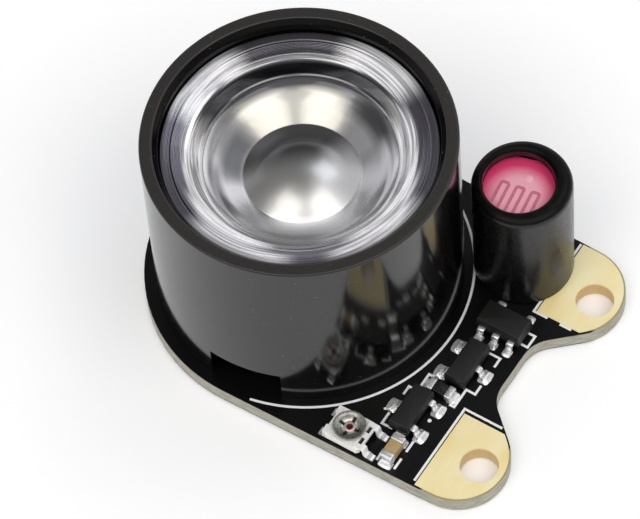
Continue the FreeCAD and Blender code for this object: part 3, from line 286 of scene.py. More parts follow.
def photograph_camera():
    """Stand the camera at its distance and angles, aimed near the barrel's foot."""
    distance, elevation, azimuth = 284.8, math.radians(57.931), math.radians(-53.014)
    roll, aim_x, aim_y = math.radians(5.281), 0.00200809, 0.00102422
    centre = distance * np.array([math.cos(elevation) * math.cos(azimuth),
                                  math.cos(elevation) * math.sin(azimuth),
                                  math.sin(elevation)])
    forward = -centre / distance
    right = np.cross(forward, [0, 0, 1])
    right /= np.linalg.norm(right)
    looking = np.array([right, np.cross(right, forward), forward])
    axes = turned_axes(roll, 0, 1) @ turned_axes(aim_y, 1, 2) @ turned_axes(aim_x, 0, 2) @ looking
    data = bpy.data.cameras.new("photograph_camera")
    data.lens, data.sensor_width = 281.25, 36.0
    data.clip_start, data.clip_end = 0.01, 20.0
    camera = stand(data, axes[0], axes[1], -axes[2], (centre + [0, 0, BOARD_TOP]) * MM)
    bpy.context.scene.camera = camera
    return camera, axes[2]


camera, sight = photograph_camera()
UP = np.array([0.0, 0.0, 1.0])
AWAY = sight * [1, 1, 0] / np.linalg.norm(sight[:2])
RIGHT = np.cross(AWAY, UP)
print("camera at", [round(v, 4) for v in camera.matrix_world.translation])
print("away", AWAY.round(3), "right", RIGHT.round(3))

# %% [markdown]
# ## Light, sky and floor
#
# The photograph is a bright table-top picture: a white table, two large soft lamps above
# the camera's side, and a darker room beyond, which is what the black board and the
# barrel's rim mirror. So the sky beyond the object is white at the horizon and dim above,
# and on the camera's side it is dim at the horizon and bright above, with no trick for any
# kind of ray. The floor is a white sheet whose brightener adds a faint glow of its own.
# The two square lamps give the lens its creamy glows, and a third soft light, cooler and
# from beyond, draws the pale patch on the right of the dish and on the sleeve's wall.

# %% Lamps
LAMP_SIZE = 0.21
AIM = np.array([0.004, 0.0, 0.006])


def lamp(name, shares, distance, radiance, colour):
    """Aim a square lamp at the object; its shares point right, near and up from there.

    The power of a square lamp is pi x area x radiance.
    """
    back = shares @ np.array([RIGHT, -AWAY, UP])
    back /= np.linalg.norm(back)
    across = np.cross(UP, back)
    across /= np.linalg.norm(across)
    data = bpy.data.lights.new(name, "AREA")
    data.shape, data.size = "SQUARE", LAMP_SIZE
    data.energy = math.pi * LAMP_SIZE ** 2 * radiance
    data.color = linear(colour)[:3]
    stand(data, across, np.cross(back, across), back, back * distance + AIM)
    print("%-10s %.2f W" % (name, data.energy))


lamp("right_lamp", np.array([0.385, 0.30, 0.87]), 0.42, 1.9, "#fffbf2")
lamp("left_lamp", np.array([-0.37, 0.30, 0.87]), 0.42, 1.9, "#fffbf2")
lamp("window", np.array([0.41, -0.37, 0.82]), 0.50, 1.8, "#f4f8ff")

# %% [markdown]
# The sky's strength is a number for each direction. Beyond the object it falls with
# height, on the camera's side it climbs, and the share of each side comes from the
# direction's cosine toward the camera.

# %% Sky
world = bpy.data.worlds.new("studio_sky")
world.use_nodes = True
world.node_tree.nodes.clear()
sky = world.node_tree
direction = add(sky, "TexCoord").outputs["Generated"]
height = add(sky, "SeparateXYZ", {"Vector": direction}).outputs["Z"]
toward = add(sky, "VectorMath", {0: direction, 1: tuple(-AWAY)}, operation="DOT_PRODUCT").outputs["Value"]
near = add(sky, "MapRange", {"Value": toward, "From Max": 0.45}, interpolation_type="SMOOTHSTEP")
low = add(sky, "MapRange", {"Value": height, "From Min": 0.38, "From Max": 0.57, "To Min": 1.0,
                            "To Max": 0.26}, interpolation_type="SMOOTHSTEP")
high = add(sky, "MapRange", {"Value": height, "From Min": 0.30, "From Max": 0.52, "To Min": 0.40,
                             "To Max": 1.3}, interpolation_type="SMOOTHSTEP")
strength = add(sky, "Mix", {0: near.outputs[0], 2: low.outputs[0], 3: high.outputs[0]}, data_type="FLOAT")
background = add(sky, "Background", {"Color": linear("#fdfdff"), "Strength": strength.outputs[0]})
add(sky, "OutputWorld", {"Surface": background.outputs[0]})
bpy.context.scene.world = world
bpy.context.scene.view_settings.view_transform = "Standard"
print("sky nodes", len(sky.nodes))

# %% [markdown]
# The table is a sheet of white card, larger than anything that the lens or the barrel can
# mirror, and a tenth of a millimetre under the board. Its tone drifts by two hundredths
# over a few centimetres, as card does.

# %% Table
TABLE_HALF, TABLE_HEIGHT = 2.5, -0.0001
card, tree = new_material("white_table")
drift = add(tree, "TexNoise", {"Vector": add(tree, "TexCoord").outputs["Object"],
                               "Scale": per_mm(30), "Detail": 2.0}).outputs["Fac"]
tone = add(tree, "MapRange", {"Value": drift, "To Min": 0.955, "To Max": 0.975}).outputs[0]
finish_material(tree, {"Base Color": tone, "Roughness": 0.6,
                       "Emission Color": linear("#f6f9ff"), "Emission Strength": 0.15})
sheet = bpy.data.meshes.new("table")
sheet.from_pydata([(x * TABLE_HALF, y * TABLE_HALF, TABLE_HEIGHT)
                   for x, y in ((-1, -1), (1, -1), (1, 1), (-1, 1))], [], [(0, 1, 2, 3)])
sheet.materials.append(card)
table = bpy.data.objects.new("table", sheet)
bpy.context.scene.collection.objects.link(table)
print("table", 2 * TABLE_HALF, "m across")

# %% [markdown]
# ## Black plastic of the barrel
#
# The barrel is black ABS from a polished mould. The eye sees it only by what it mirrors:
# the white table on the left, the gold ears on the right. So the material is nearly
# black, almost smooth, and carries very slight waves a few millimetres long, which bend
# those reflections the way sink marks do. The rim was faced off and is a satin dark
# brown-grey, and there is a little dust. The bore was left sooty and drinks the light,
# so it has the same plastic with a fifth of the shine.

# %% Barrel material
def black_plastic(name, shine):
    """Near-black ABS; shine is the shader's specular level, 0.5 for a clean plastic."""
    material, tree = new_material(name)
    place = add(tree, "TexCoord").outputs["Object"]
    waves = add(tree, "TexNoise", {"Vector": place, "Scale": per_mm(4.0), "Detail": 1.0}).outputs["Fac"]
    dust = add(tree, "TexNoise", {"Vector": place, "Scale": per_mm(0.16), "Detail": 2.0}).outputs["Fac"]
    specks = add(tree, "MapRange", {"Value": dust, "From Min": 0.71, "From Max": 0.78}).outputs[0]
    height = add(tree, "SeparateXYZ", {"Vector": place}).outputs["Z"]
    rim = add(tree, "MapRange", {"Value": height, "From Min": (BARREL_TOP - 0.06) * MM,
                                 "From Max": (BARREL_TOP - 0.02) * MM}).outputs[0]
    colour = painted(tree, linear("#090808"), [(rim, "#252220"), (specks, "#6b6a68")])
    satin = add(tree, "MapRange", {"Value": rim, "To Min": 0.10, "To Max": 0.36}).outputs[0]
    fine = add(tree, "MapRange", {"Value": dust, "To Min": -0.03, "To Max": 0.06}).outputs[0]
    rough = add(tree, "Math", {0: satin, 1: fine}, operation="ADD").outputs[0]
    bump = add(tree, "Bump", {"Height": waves, "Distance": 0.006 * MM}).outputs["Normal"]
    finish_material(tree, {"Base Color": colour, "Roughness": rough, "IOR": 1.5,
                           "Specular IOR Level": shine, "Normal": bump})
    return material


barrel_black = black_plastic("moulded_black_abs", 0.5)
bore_black = black_plastic("sooty_black_abs", 0.1)
print(barrel_black.name, bore_black.name)

# %% [markdown]
# ## The barrel
#
# A turned tube whose foot is cut by two slots for the emitter's leads. The slots have
# flat, parallel sides, so a plain lathe can't make them. Here the columns of points
# gather, which puts every column of a slot on a straight line across the wall. The foot
# of those columns is at the slot's roof, and the two columns on each side wall share one
# angle. The cross in the adjuster's rotor is made by the same function further down.

# %% Barrel
def gathered(radius, half_width, slots, inside, outside):
    """Angles of columns that gather at straight slots, and which columns lie in a slot.

    Inside a slot of half width w the angle at radius r is asin(s w / r), with s from -1
    to 1. The columns between two slots share the rest of the turn evenly.
    """
    edge = np.arcsin(half_width / radius)
    within = np.arcsin(np.linspace(-1, 1, inside)[None, :] * half_width / radius)
    between = edge + np.linspace(0, 1, outside)[None, :] * (2 * np.pi / slots - 2 * edge)
    sector = np.concatenate([within, between], axis=1)
    angle = np.concatenate([sector + 2 * np.pi / slots * turn for turn in range(slots)], axis=1)
    return angle, np.tile(np.arange(inside + outside) < inside, slots)[None, :]


def barrel_rings():
    """Rings of the tube, foot first: radius and height follow the profile, angle gathers."""
    half_slot, roof, slot_angle = 2.15, BOARD_TOP + 2.3, math.radians(98.0)
    cup_bore, bore, mouth, shoulder = 7.4, 7.8, 8.12, 11.25
    outer, top = BARREL_RADIUS, BARREL_TOP
    profile = softened([(cup_bore, BOARD_TOP), (outer, BOARD_TOP), (outer, roof), (outer, top),
                        (mouth, top), (bore, top - 0.37), (bore, shoulder), (cup_bore, shoulder),
                        (cup_bore, roof)], [0, 0, 0, 0.13, 0.08, 0.08, 0, 0, 0], closed=True)
    wall = np.column_stack([np.full(22, outer), np.linspace(roof, top - 0.2, 24)[1:-1]])
    cut = int(np.argmax((profile[:, 0] > outer - 0.02) & (profile[:, 1] > roof + 1)))
    profile = np.vstack([profile[:cut], wall, profile[cut:]])
    radius, height = profile[:, 0][:, None], profile[:, 1][:, None]
    angle, in_slot = gathered(radius, half_slot, slots=2, inside=17, outside=81)
    angle = angle + slot_angle
    z = np.where(in_slot, np.maximum(height, roof), height + 0 * angle)
    return np.stack([radius * np.cos(angle), radius * np.sin(angle), z], axis=-1)


RIM_WIDTH = 0.72
barrel = make_piece("barrel_moulding", [skin(barrel_rings(), loop_rings=True)], barrel_black,
                    "board", ["lens_barrel"], sharp=40)
also_finish(barrel, bore_black,
            lambda centre: np.hypot(centre[:, 0], centre[:, 1]) < BARREL_RADIUS - RIM_WIDTH)

# %% [markdown]
# ## The lens
#
# From the rim inwards the lens has a flange with fine turning lines, a rounded step, a
# steep wall, a thin bead, then a dish that falls to a crease and rises again in a low
# dome. It is one turned profile. The face is drawn by its slope, because the slope is
# what a mirror-like surface shows: a kink of a few degrees is plain to see where a change
# of height of a hundredth of a millimetre is not.

# %% Lens profile
def lens_profile():
    """Radius and height from the axis over the dome, dish, step and flange, then below.

    The slope of the face runs through the angles listed by radius. Its height is the
    running sum of tan(slope) dr, lifted so that the crease lies at its own height.
    """
    crease, crease_height, dish_edge, gap = 3.28, 10.65, 5.42, 0.0005
    radii = [0, 2.4, 2.9, crease - 0.8 * gap, crease + 0.8 * gap, 4.35, 4.8, 5.05, 5.3, dish_edge]
    slopes = [0, -27, -29.5, -29, 27, 28.5, 33, 27, 35, 37]
    r = np.concatenate([np.linspace(0, crease - gap, 70), np.linspace(crease + gap, dish_edge, 110)])
    slope = np.radians(np.interp(r, radii, slopes))
    climb = np.concatenate([[0], np.cumsum(np.tan((slope[1:] + slope[:-1]) / 2) * np.diff(r))])
    face = np.column_stack([r, climb + crease_height - np.interp(crease, r, climb)])
    rim, foot, top = span("lens")[1, 0], span("lens")[0, 2], span("lens")[1, 2]
    lip = [(dish_edge, face[-1, 1]), (5.56, 12.1), (5.66, 12.15), (6.08, 12.86), (6.4, 12.98),
           (6.45, 12.92), (6.5, 12.97), (7.12, 13.21), (7.19, 13.15), (7.26, 13.2), (rim, top)]
    below = [(rim, top - 1.5), (6.7, top - 1.5), (4.6, foot), (3.7, foot), (3.7, foot + 4), (0, foot + 4)]
    rest = softened(lip + below, [0, 0.03, 0.03, 0.13, 0.02, 0.02, 0.02, 0.03, 0.02, 0.03, 0.1,
                                  0.05, 0.05, 0.05, 0.05, 0.1, 0])
    print("crown of the dome at", round(face[0, 1], 3), "edge of the dish at", round(face[-1, 1], 3))
    return np.vstack([face, rest[1:]])


lens_line = lens_profile()

# %% [markdown]
# The lens is clear acrylic with a bright metal coat behind it, so the eye sees a silver
# dish under a clear gloss. Real refraction would need many rays and would look grainy,
# while a metal with a clear coat gives the same picture.
#
# What lies behind clear acrylic differs from place to place: bright cup, dark mouth of the
# barrel, dim emitter under the dome. So the coat's tone follows the radius. It also follows
# the side of the lens, as seen from the camera, with soft borders, and those tones are painted
# reflections and painted shade. On the step where the two lamps stand, and in blurs on the
# dish and the dome, the coat turns from metal to milky white: these are painted highlights.
#
# A row of a table says where its tone lies. Each pair of radii, in mm, runs from where
# the tone is nothing to where it is full. A side is an angle in degrees, from straight
# away toward the light sensor, and two cosines of the angle off it, which run alike.

# %% Tones of the lens
AWAY_SIDE, WIDE_AWAY = (0, 0.45, 0.9), (0, 0.3, 0.62)
DISH_RIM, DOME_RIM = (5.6, 5.45), (3.35, 3.2)
# Rows with a side are painted reflections, shade and highlights for this view.
LENS_TONES_AND_PAINTED_LIGHT = [
    ("#7d7a84", [(6.45, 6.6)], None),                        # flange, dulled by its turning lines
    ("#a9a7a1", [DISH_RIM], AWAY_SIDE),                      # far half of the dish, painted shade
    ("#3c3c3e", [(4.8, 5.25), DISH_RIM], AWAY_SIDE),         # and its upper edge, painted shade
    ("#666668", [(5.4, 5.5)], WIDE_AWAY),                    # painted dark reflection just beyond the dish
    ("#323234", [(5.6, 5.66), (6.16, 6.08)], WIDE_AWAY),     # steep wall, painted reflection of the room
    ("#e8e8ea", [(6.14, 6.26)], WIDE_AWAY),                  # painted highlight on the shoulder over that wall
    ("#5a585e", [(6.45, 6.6)], AWAY_SIDE),                   # far flange, painted shade
    ("#323136", [(6.44, 6.5), (6.9, 6.65)], AWAY_SIDE),      # and its inner edge, painted shade
    ("#77767c", [(6.1, 6.2), (6.5, 6.42)], (180, 0.8, 0.97)),    # near shoulder between the lamps, painted shade
    ("#6a6a6c", [(4.1, 4.7), DISH_RIM], (62, 0.78, 0.97)),   # painted shade high on the right of the dish
    ("#aeaeb1", [(3.2, 3.5), (4.6, 4.2)], (-72, 0.87, 0.97)),    # painted pale reflections round the crease
    ("#bfbfc2", [(3.28, 3.4), (5.35, 5.1)], (100, 0.86, 0.98)),
    ("#9a9a9e", [(4.35, 4.65), (5.3, 5.1)], (-105, 0.88, 0.98)),
    ("#b9b8b6", [DOME_RIM], None),                           # dome
]
# Painted highlights where the two lamps would shine on the step, the flange and the wall.
PAINTED_LAMP_HIGHLIGHTS = [
    ("ADD", [(6.14, 6.24)], (45, 0.894, 0.9925)),            # far shoulder and flange
    ("ADD", [(6.14, 6.24), (6.95, 6.7)], (135, 0.8515, 0.9874)),     # near shoulder
    ("ADD", [(6.7, 6.95)], (147, 0.87, 0.97)),               # near flange
    ("MAXIMUM", [(5.4, 5.5), (6.5, 6.42)], (104, 0.757, 0.941)),     # steep wall on both flanks
]
# Painted highlights: soft milky blurs on the dish and the dome.
PAINTED_BLURS = [
    (0.8, [(2.9, 3.15), (4.6, 3.5)], (180, 0.7, 0.97)),      # near side of the crease
    (0.15, [(1.2, 1.8), DOME_RIM], (0, 0.1, 0.8)),           # far side of the dome
    (0.12, [(2.0, 2.5), DOME_RIM], (-60, 0.6, 0.95)),        # its far left
    (0.46, [(0.9, 1.9), DOME_RIM], (110, 0.35, 0.9)),        # and its right
]


def zone(tree, flat, radius, radii, side):
    """Product of a ramp for each pair of radii and of a soft step in the cosine off a side."""
    share = 1.0
    ramps = [add(tree, "MapRange", {"Value": radius, "From Min": start * MM, "From Max": end * MM})
             for start, end in radii]
    if side:
        angle, faint, full = math.radians(side[0]), *side[1:]
        outward = add(tree, "VectorMath", {0: flat}, operation="NORMALIZE").outputs[0]
        aim = tuple(math.cos(angle) * AWAY + math.sin(angle) * RIGHT)
        cosine = add(tree, "VectorMath", {0: outward, 1: aim}, operation="DOT_PRODUCT").outputs["Value"]
        ramps.append(add(tree, "MapRange", {"Value": cosine, "From Min": faint, "From Max": full},
                         interpolation_type="SMOOTHSTEP"))
    for ramp in ramps:
        share = add(tree, "Math", {0: share, 1: ramp.outputs[0]}, operation="MULTIPLY").outputs[0]
    return share


print(len(LENS_TONES_AND_PAINTED_LIGHT), "tones", len(PAINTED_LAMP_HIGHLIGHTS), "pairs of glows", len(PAINTED_BLURS), "blurs")

# %% [markdown]
# The mould was cut on a lathe, and its marks break the white up into streaks. They are a
# noise whose place is mostly the radius, so it draws arcs, a sixth of a millimetre apart.
# The same lathe left rings on the flange, drawn by two sines, and the optic face has a
# very faint orange peel. A real cutter's marks are finer: these are as coarse as they
# have to be to show in the picture.

# %% Marks of the lathe
def lathe_streaks(tree, flat, radius):
    """Noise at twice the outward direction, plus the radius counted in streaks along X."""
    outward = add(tree, "VectorMath", {0: flat}, operation="NORMALIZE").outputs[0]
    count = add(tree, "Math", {0: radius, 1: per_mm(0.16)}, operation="MULTIPLY").outputs[0]
    along = add(tree, "CombineXYZ", {"X": count}).outputs[0]
    place = add(tree, "VectorMath", {0: outward, 1: (2, 2, 0), 2: along}, operation="MULTIPLY_ADD")
    noise = add(tree, "TexNoise", {"Vector": place.outputs[0], "Scale": 1.0, "Detail": 3.0}).outputs["Fac"]
    streaks = add(tree, "MapRange", {"Value": noise, "From Min": 0.38, "From Max": 0.62},
                  interpolation_type="SMOOTHSTEP").outputs[0]
    beyond_dish = zone(tree, flat, radius, [(5.5, 5.62)], None)
    return add(tree, "Math", {0: streaks, 1: beyond_dish}, operation="MULTIPLY").outputs[0]


def lathe_relief(tree, radius, flange, optic):
    """Height of the face: two sines of the radius on the flange, and orange peel on the optic."""
    place = add(tree, "TexCoord").outputs["Object"]
    rings = 0.0
    for pitch, depth in ((0.31, 0.7), (0.075, 1.0)):
        turns = add(tree, "Math", {0: radius, 1: 2 * math.pi * per_mm(pitch)}, operation="MULTIPLY")
        wave = add(tree, "Math", {0: turns.outputs[0]}, operation="SINE").outputs[0]
        rings = add(tree, "Math", {0: wave, 1: depth, 2: rings}, operation="MULTIPLY_ADD").outputs[0]
    rings = add(tree, "Math", {0: rings, 1: flange}, operation="MULTIPLY").outputs[0]
    peel = add(tree, "TexNoise", {"Vector": place, "Scale": per_mm(0.9), "Detail": 1.0}).outputs["Fac"]
    peel = add(tree, "Math", {0: peel, 1: optic}, operation="MULTIPLY").outputs[0]
    return add(tree, "Math", {0: rings, 1: 0.25, 2: peel}, operation="MULTIPLY_ADD").outputs[0]


print("streaks per mm", per_mm(0.16) * MM)

# %% [markdown]
# The layers go on in one order: the tones from the rim to the dome, with their painted
# reflections and shade; the pupil, painted shade on the far half of the dome where the dim
# emitter shows through; the streaks; and last the milky white of the painted highlights,
# which takes the metal away where it stands. Over all of it lies the acrylic, a clear and
# very smooth coat.

# %% Lens material
def painted_milky_highlight(tree, flat, radius, streaks):
    """Share of painted milky highlight: the lamps' painted highlights, less streaks and a fall to the rim,
    plus the painted blurs.
    """
    painted_highlight = 0.0
    for join, radii, (angle, faint, full) in PAINTED_LAMP_HIGHLIGHTS:
        for side in ((angle, faint, full), (-angle, faint, full)):
            lit = zone(tree, flat, radius, radii, side)
            painted_highlight = add(tree, "Math", {0: painted_highlight, 1: lit}, operation=join).outputs[0]
    unbroken = add(tree, "Math", {0: streaks, 1: -0.6, 2: 1.0}, operation="MULTIPLY_ADD").outputs[0]
    to_rim = add(tree, "MapRange", {"Value": radius, "From Min": 7.05 * MM, "From Max": 7.7 * MM,
                                    "To Min": 1.0, "To Max": 0.6}).outputs[0]
    for share in (unbroken, to_rim):
        painted_highlight = add(tree, "Math", {0: painted_highlight, 1: share}, operation="MULTIPLY").outputs[0]
    for share, radii, side in PAINTED_BLURS:
        painted_blur = zone(tree, flat, radius, radii, side)
        painted_highlight = add(tree, "Math", {0: painted_blur, 1: share, 2: painted_highlight}, operation="MULTIPLY_ADD").outputs[0]
    return painted_highlight


def silvered_acrylic():
    """Bright metal seen through clear acrylic, with rings cut by the mould's lathe, and painted reflections,
    shade and highlights.
    """
    material, tree = new_material("acrylic_over_metal_with_painted_light")
    flat, radius = off_axis(tree)
    flange, optic, dome = (zone(tree, flat, radius, [radii], None)
                           for radii in ((6.45, 6.6), DISH_RIM, DOME_RIM))
    streaks = lathe_streaks(tree, flat, radius)
    painted_highlight = painted_milky_highlight(tree, flat, radius, streaks)
    # Painted shade: the far half of the dome is darkened, where the dim emitter shows through the clear
    # dome.
    beyond = add(tree, "VectorMath", {0: flat, 1: tuple(AWAY)}, operation="DOT_PRODUCT").outputs["Value"]
    pupil_shade = add(tree, "MapRange", {"Value": beyond, "From Min": -0.6 * MM, "From Max": 1.3 * MM},
                interpolation_type="SMOOTHSTEP").outputs[0]
    pupil_shade = add(tree, "Math", {0: pupil_shade, 1: dome}, operation="MULTIPLY").outputs[0]
    half_streaks = add(tree, "Math", {0: streaks, 1: 0.5}, operation="MULTIPLY").outputs[0]
    tones = [(zone(tree, flat, radius, radii, side), colour) for colour, radii, side in LENS_TONES_AND_PAINTED_LIGHT]
    # The pupil's painted shade, the streaks, and last the painted highlights in milky white.
    tones += [(pupil_shade, "#434345"), (half_streaks, "#4c4b50"), (painted_highlight, "#fcfbff")]
    silver = painted(tree, linear("#e8e8ea"), tones)
    metal = add(tree, "Math", {0: 1.0, 1: painted_highlight}, operation="SUBTRACT").outputs[0]
    rough = 0.12
    for part, more in ((optic, 0.09), (dome, 0.10), (flange, 0.12)):
        rough = add(tree, "Math", {0: part, 1: more, 2: rough}, operation="MULTIPLY_ADD").outputs[0]
    relief = lathe_relief(tree, radius, flange, optic)
    bump = add(tree, "Bump", {"Height": relief, "Distance": 0.007 * MM}).outputs["Normal"]
    finish_material(tree, {"Base Color": silver, "Metallic": metal, "Roughness": rough, "Normal": bump,
                           "Coat Weight": 0.6, "Coat Roughness": 0.03, "Coat IOR": 1.49})
    print(material.name, len(tree.nodes), "nodes")
    return material


make_piece("lens_moulding", [skin(turned(lens_line, 224))], silvered_acrylic(), "board",
           ["lens"], sharp=26)

# %% [markdown]
# ## Shop colours: metals, ceramics and epoxy
#
# The small parts share one kind of finish: a mottle between two near colours, broken up
# by a noise of the size that the real surface has, with a bump and a roughness that
# follow it. Some of them carry marks, such as soot or print, which are laid over it.

# %% A mottled finish
def mottled(name, dark, light, grain, rough, relief, sockets=None, stretch=(1, 1, 1), harsh=0.6, marks=None):
    """Mottle between two colours; grain and relief are in mm, and rough is a range.

    sockets are further settings of the shader, stretch draws the grain out where it is
    below 1, harsh is the noise's own roughness, and marks is a function of the tree that
    gives masks and the colours painted there.
    """
    material, tree = new_material(name)
    place = add(tree, "TexCoord").outputs["Object"]
    drawn = add(tree, "Mapping", {"Vector": place, "Scale": stretch}).outputs[0]
    noise = add(tree, "TexNoise", {"Vector": drawn, "Scale": per_mm(grain), "Detail": 4.0,
                                   "Roughness": harsh}).outputs["Fac"]
    spread = add(tree, "MapRange", {"Value": noise, "From Min": 0.3, "From Max": 0.7}).outputs[0]
    tint = painted(tree, linear(dark), [(spread, light)])
    if marks:
        tint = painted(tree, tint, marks(tree))
    gloss = add(tree, "MapRange", {"Value": spread, "To Min": rough[0], "To Max": rough[1]}).outputs[0]
    bump = add(tree, "Bump", {"Height": noise, "Distance": relief * MM}).outputs["Normal"]
    finish_material(tree, {"Base Color": tint, "Roughness": gloss, "Normal": bump, **(sockets or {})})
    print(name)
    return material


# %% [markdown]
# ### Metals, ceramics and plastics
#
# Each of these is one mottle. The comment over it says what it is on the real object and
# what the eye gets from it.

# %% Plain finishes
# Tin, plated matt: it mirrors the sky softly and looks near white.
tin = mottled("matt_tin_plate", "#e2e2e1", "#f8f8f7", grain=0.12, rough=(0.24, 0.38), relief=0.002,
              sockets={"Metallic": 0.8})
# Tin, hot-dipped: flat and so bright that it shows no dark reflection.
bright_tin = mottled("bright_tin_plate", "#f4f4f2", "#ffffff", grain=0.12, rough=(0.3, 0.4), relief=0.002,
                     sockets={"Metallic": 0.2})
# Solder, frozen from a melt: the most mirror-like of the three, in small bright spots.
solder = mottled("reflowed_solder", "#f0f0f1", "#fefefd", grain=0.3, rough=(0.18, 0.3), relief=0.003,
                 sockets={"Metallic": 0.6})
# Vacuum coat on a polished cup: a clean mirror.
silver_cup = mottled("vacuum_metallised_cup", "#cfcfd2", "#dededf", grain=0.8, rough=(0.1, 0.2),
                     relief=0.002, sockets={"Metallic": 1.0})
# Nickel over a copper slug: a dull grey with copper's warmth.
copper_slug = mottled("nickel_plated_copper", "#b8b0a4", "#d2ccc2", grain=0.4, rough=(0.3, 0.4),
                      relief=0.003, sockets={"Metallic": 1.0})
# Epoxy filled with ground quartz, moulded: a charcoal that never shines.
epoxy = mottled("moulded_black_epoxy", "#0d0c0c", "#151413", grain=0.05, rough=(0.45, 0.6), relief=0.003)
# Ceramic fired bare: tan, dry and finely mottled.
tan_ceramic = mottled("fired_tan_ceramic", "#a88f60", "#bba274", grain=0.08, rough=(0.35, 0.5),
                      relief=0.002)
# Glass glaze fired over the resistor: black with a soft shine.
glaze = mottled("black_resistor_glaze", "#131314", "#1e1e20", grain=0.1, rough=(0.2, 0.32), relief=0.002)
# Screen-printed ink: a matt, slightly cool white.
print_ink = mottled("white_epoxy_ink", "#ecedf0", "#fcfcfd", grain=0.06, rough=(0.5, 0.6), relief=0.002)
# The emitter's frame, moulded to reflect: a matt, slightly warm white.
white_frame = mottled("white_reflector_plastic", "#e8e6e0", "#f2f0ea", grain=0.2, rough=(0.4, 0.5),
                      relief=0.002)
# The emitter's crystal, sawn and polished: dark violet-grey and glossy.
die_crystal = mottled("grown_emitter_crystal", "#2b2a33", "#3d3b49", grain=0.1, rough=(0.1, 0.2),
                      relief=0.001)
# Silicone, cast and cured: clear, with a wet gloss.
silicone = mottled("clear_cured_silicone", "#f3f3f3", "#fbfbfb", grain=0.5, rough=(0.04, 0.1), relief=0.001,
                   sockets={"Transmission Weight": 0.9, "IOR": 1.41})

# %% [markdown]
# ## Gold lands
#
# Immersion gold is a film so thin over its nickel that it looks pale and only softly
# shiny. It was brushed along the board, which draws its grain out. The drilled wall of a
# hole begins an eighth of a millimetre below the face, and its darker, duller tan is
# painted shade inside the hole.

# %% Gold
def wall_tone_and_shade(tree):
    """Mask that climbs from 0 at the board's face to 1 at the depth where the wall begins."""
    depth = 0.12
    place = add(tree, "TexCoord").outputs["Object"]
    height = add(tree, "SeparateXYZ", {"Vector": place}).outputs["Z"]
    below = add(tree, "MapRange", {"Value": height, "From Min": BOARD_TOP * MM,
                                   "From Max": (BOARD_TOP - depth) * MM})
    # Painted shade: the wall inside the hole is a darker tan.
    return [(below.outputs[0], "#d6b779")]


gold = mottled("immersion_gold", "#fbe39a", "#fff4c6", grain=1.6, rough=(0.34, 0.5), relief=0.004,
               sockets={"Metallic": 0.06, "Specular IOR Level": 0.7}, stretch=(1, 0.35, 1),
               marks=wall_tone_and_shade)

# %% [markdown]
# ## Heat-shrink
#
# Shrunk polyolefin is black and softly shiny where it was drawn smooth, with ripples that
# run along the tube. Its cut and rolled mouth is dull, so it is a second finish.

# %% Rubber
TUBE = {"stretch": (1, 1, 0.25), "harsh": 0.5}
rubber = mottled("shrunk_black_polyolefin", "#070606", "#0f0d0d", grain=0.5, rough=(0.22, 0.32),
                 relief=0.012, sockets={"Specular IOR Level": 0.42}, **TUBE)
cut_rubber = mottled("cut_black_polyolefin", "#070606", "#0f0d0d", grain=0.5, rough=(0.3, 0.4), relief=0.012,
                     sockets={"Specular IOR Level": 0.12}, **TUBE)

# %% [markdown]
# ## The adjuster's ceramic, steel and lacquer
#
# The base is white alumina, on which a resistive track was printed; under the wiper's
# windows it ends in a dark patch, which is that track and also painted shade of the hollow
# under the plate. The rotor is nickel-plated steel, dull and greenish from stamping, with a
# painted highlight as a bright ring round the rivet and painted shade in its cross.
# The rivet wears dark red lacquer in its mouth, rubbed off its rolled lip, where a pale
# pinkish metal shows.

# %% Adjuster finishes
CROSS_HALF, CROSS_REACH = 0.1, 0.65
PATCH_OFFSET, PATCH_HALF = 1.03, {"X": 0.12, "Y": 0.68}


def track_and_shade_patch(tree):
    """Mask of a rectangle: in X and in Y it falls within 0.02 mm of its half sizes."""
    flat, _ = off_axis(tree, TRIMMER[0] + PATCH_OFFSET, TRIMMER[1])
    size = add(tree, "VectorMath", {0: flat}, operation="ABSOLUTE").outputs[0]
    sides = add(tree, "SeparateXYZ", {"Vector": size}).outputs
    patch = 1.0
    for axis, half in PATCH_HALF.items():
        inside = add(tree, "MapRange", {"Value": sides[axis], "From Min": (half + 0.02) * MM,
                                        "From Max": (half - 0.02) * MM})
        patch = add(tree, "Math", {0: patch, 1: inside.outputs[0]}, operation="MULTIPLY").outputs[0]
    # The track together with painted shade: a dark patch under the wiper's windows.
    return [(patch, "#2a2422")]


def ring_and_cross(tree):
    """Masks of a painted highlight on a disc round the rivet and of painted shade in the cross.

    A point is in an arm where the smaller of its two offsets is under the arm's half width.
    """
    flat, radius = off_axis(tree, *TRIMMER)
    size = add(tree, "VectorMath", {0: flat}, operation="ABSOLUTE").outputs[0]
    sides = add(tree, "SeparateXYZ", {"Vector": size}).outputs
    arm = add(tree, "Math", {0: sides["X"], 1: sides["Y"]}, operation="MINIMUM").outputs[0]
    in_arm = add(tree, "MapRange", {"Value": arm, "From Min": (CROSS_HALF + 0.005) * MM,
                                    "From Max": (CROSS_HALF - 0.01) * MM}).outputs[0]
    in_reach = add(tree, "MapRange", {"Value": radius, "From Min": (CROSS_REACH + 0.01) * MM,
                                      "From Max": (CROSS_REACH - 0.01) * MM}).outputs[0]
    # Painted shade in the arms of the cross, then a painted highlight on a disc round the rivet.
    cross_shade = add(tree, "Math", {0: in_arm, 1: in_reach}, operation="MULTIPLY").outputs[0]
    ring_highlight = add(tree, "MapRange", {"Value": radius, "From Min": 0.5 * MM, "From Max": 0.42 * MM}).outputs[0]
    return [(ring_highlight, "#efeeea"), (cross_shade, "#37342f")]


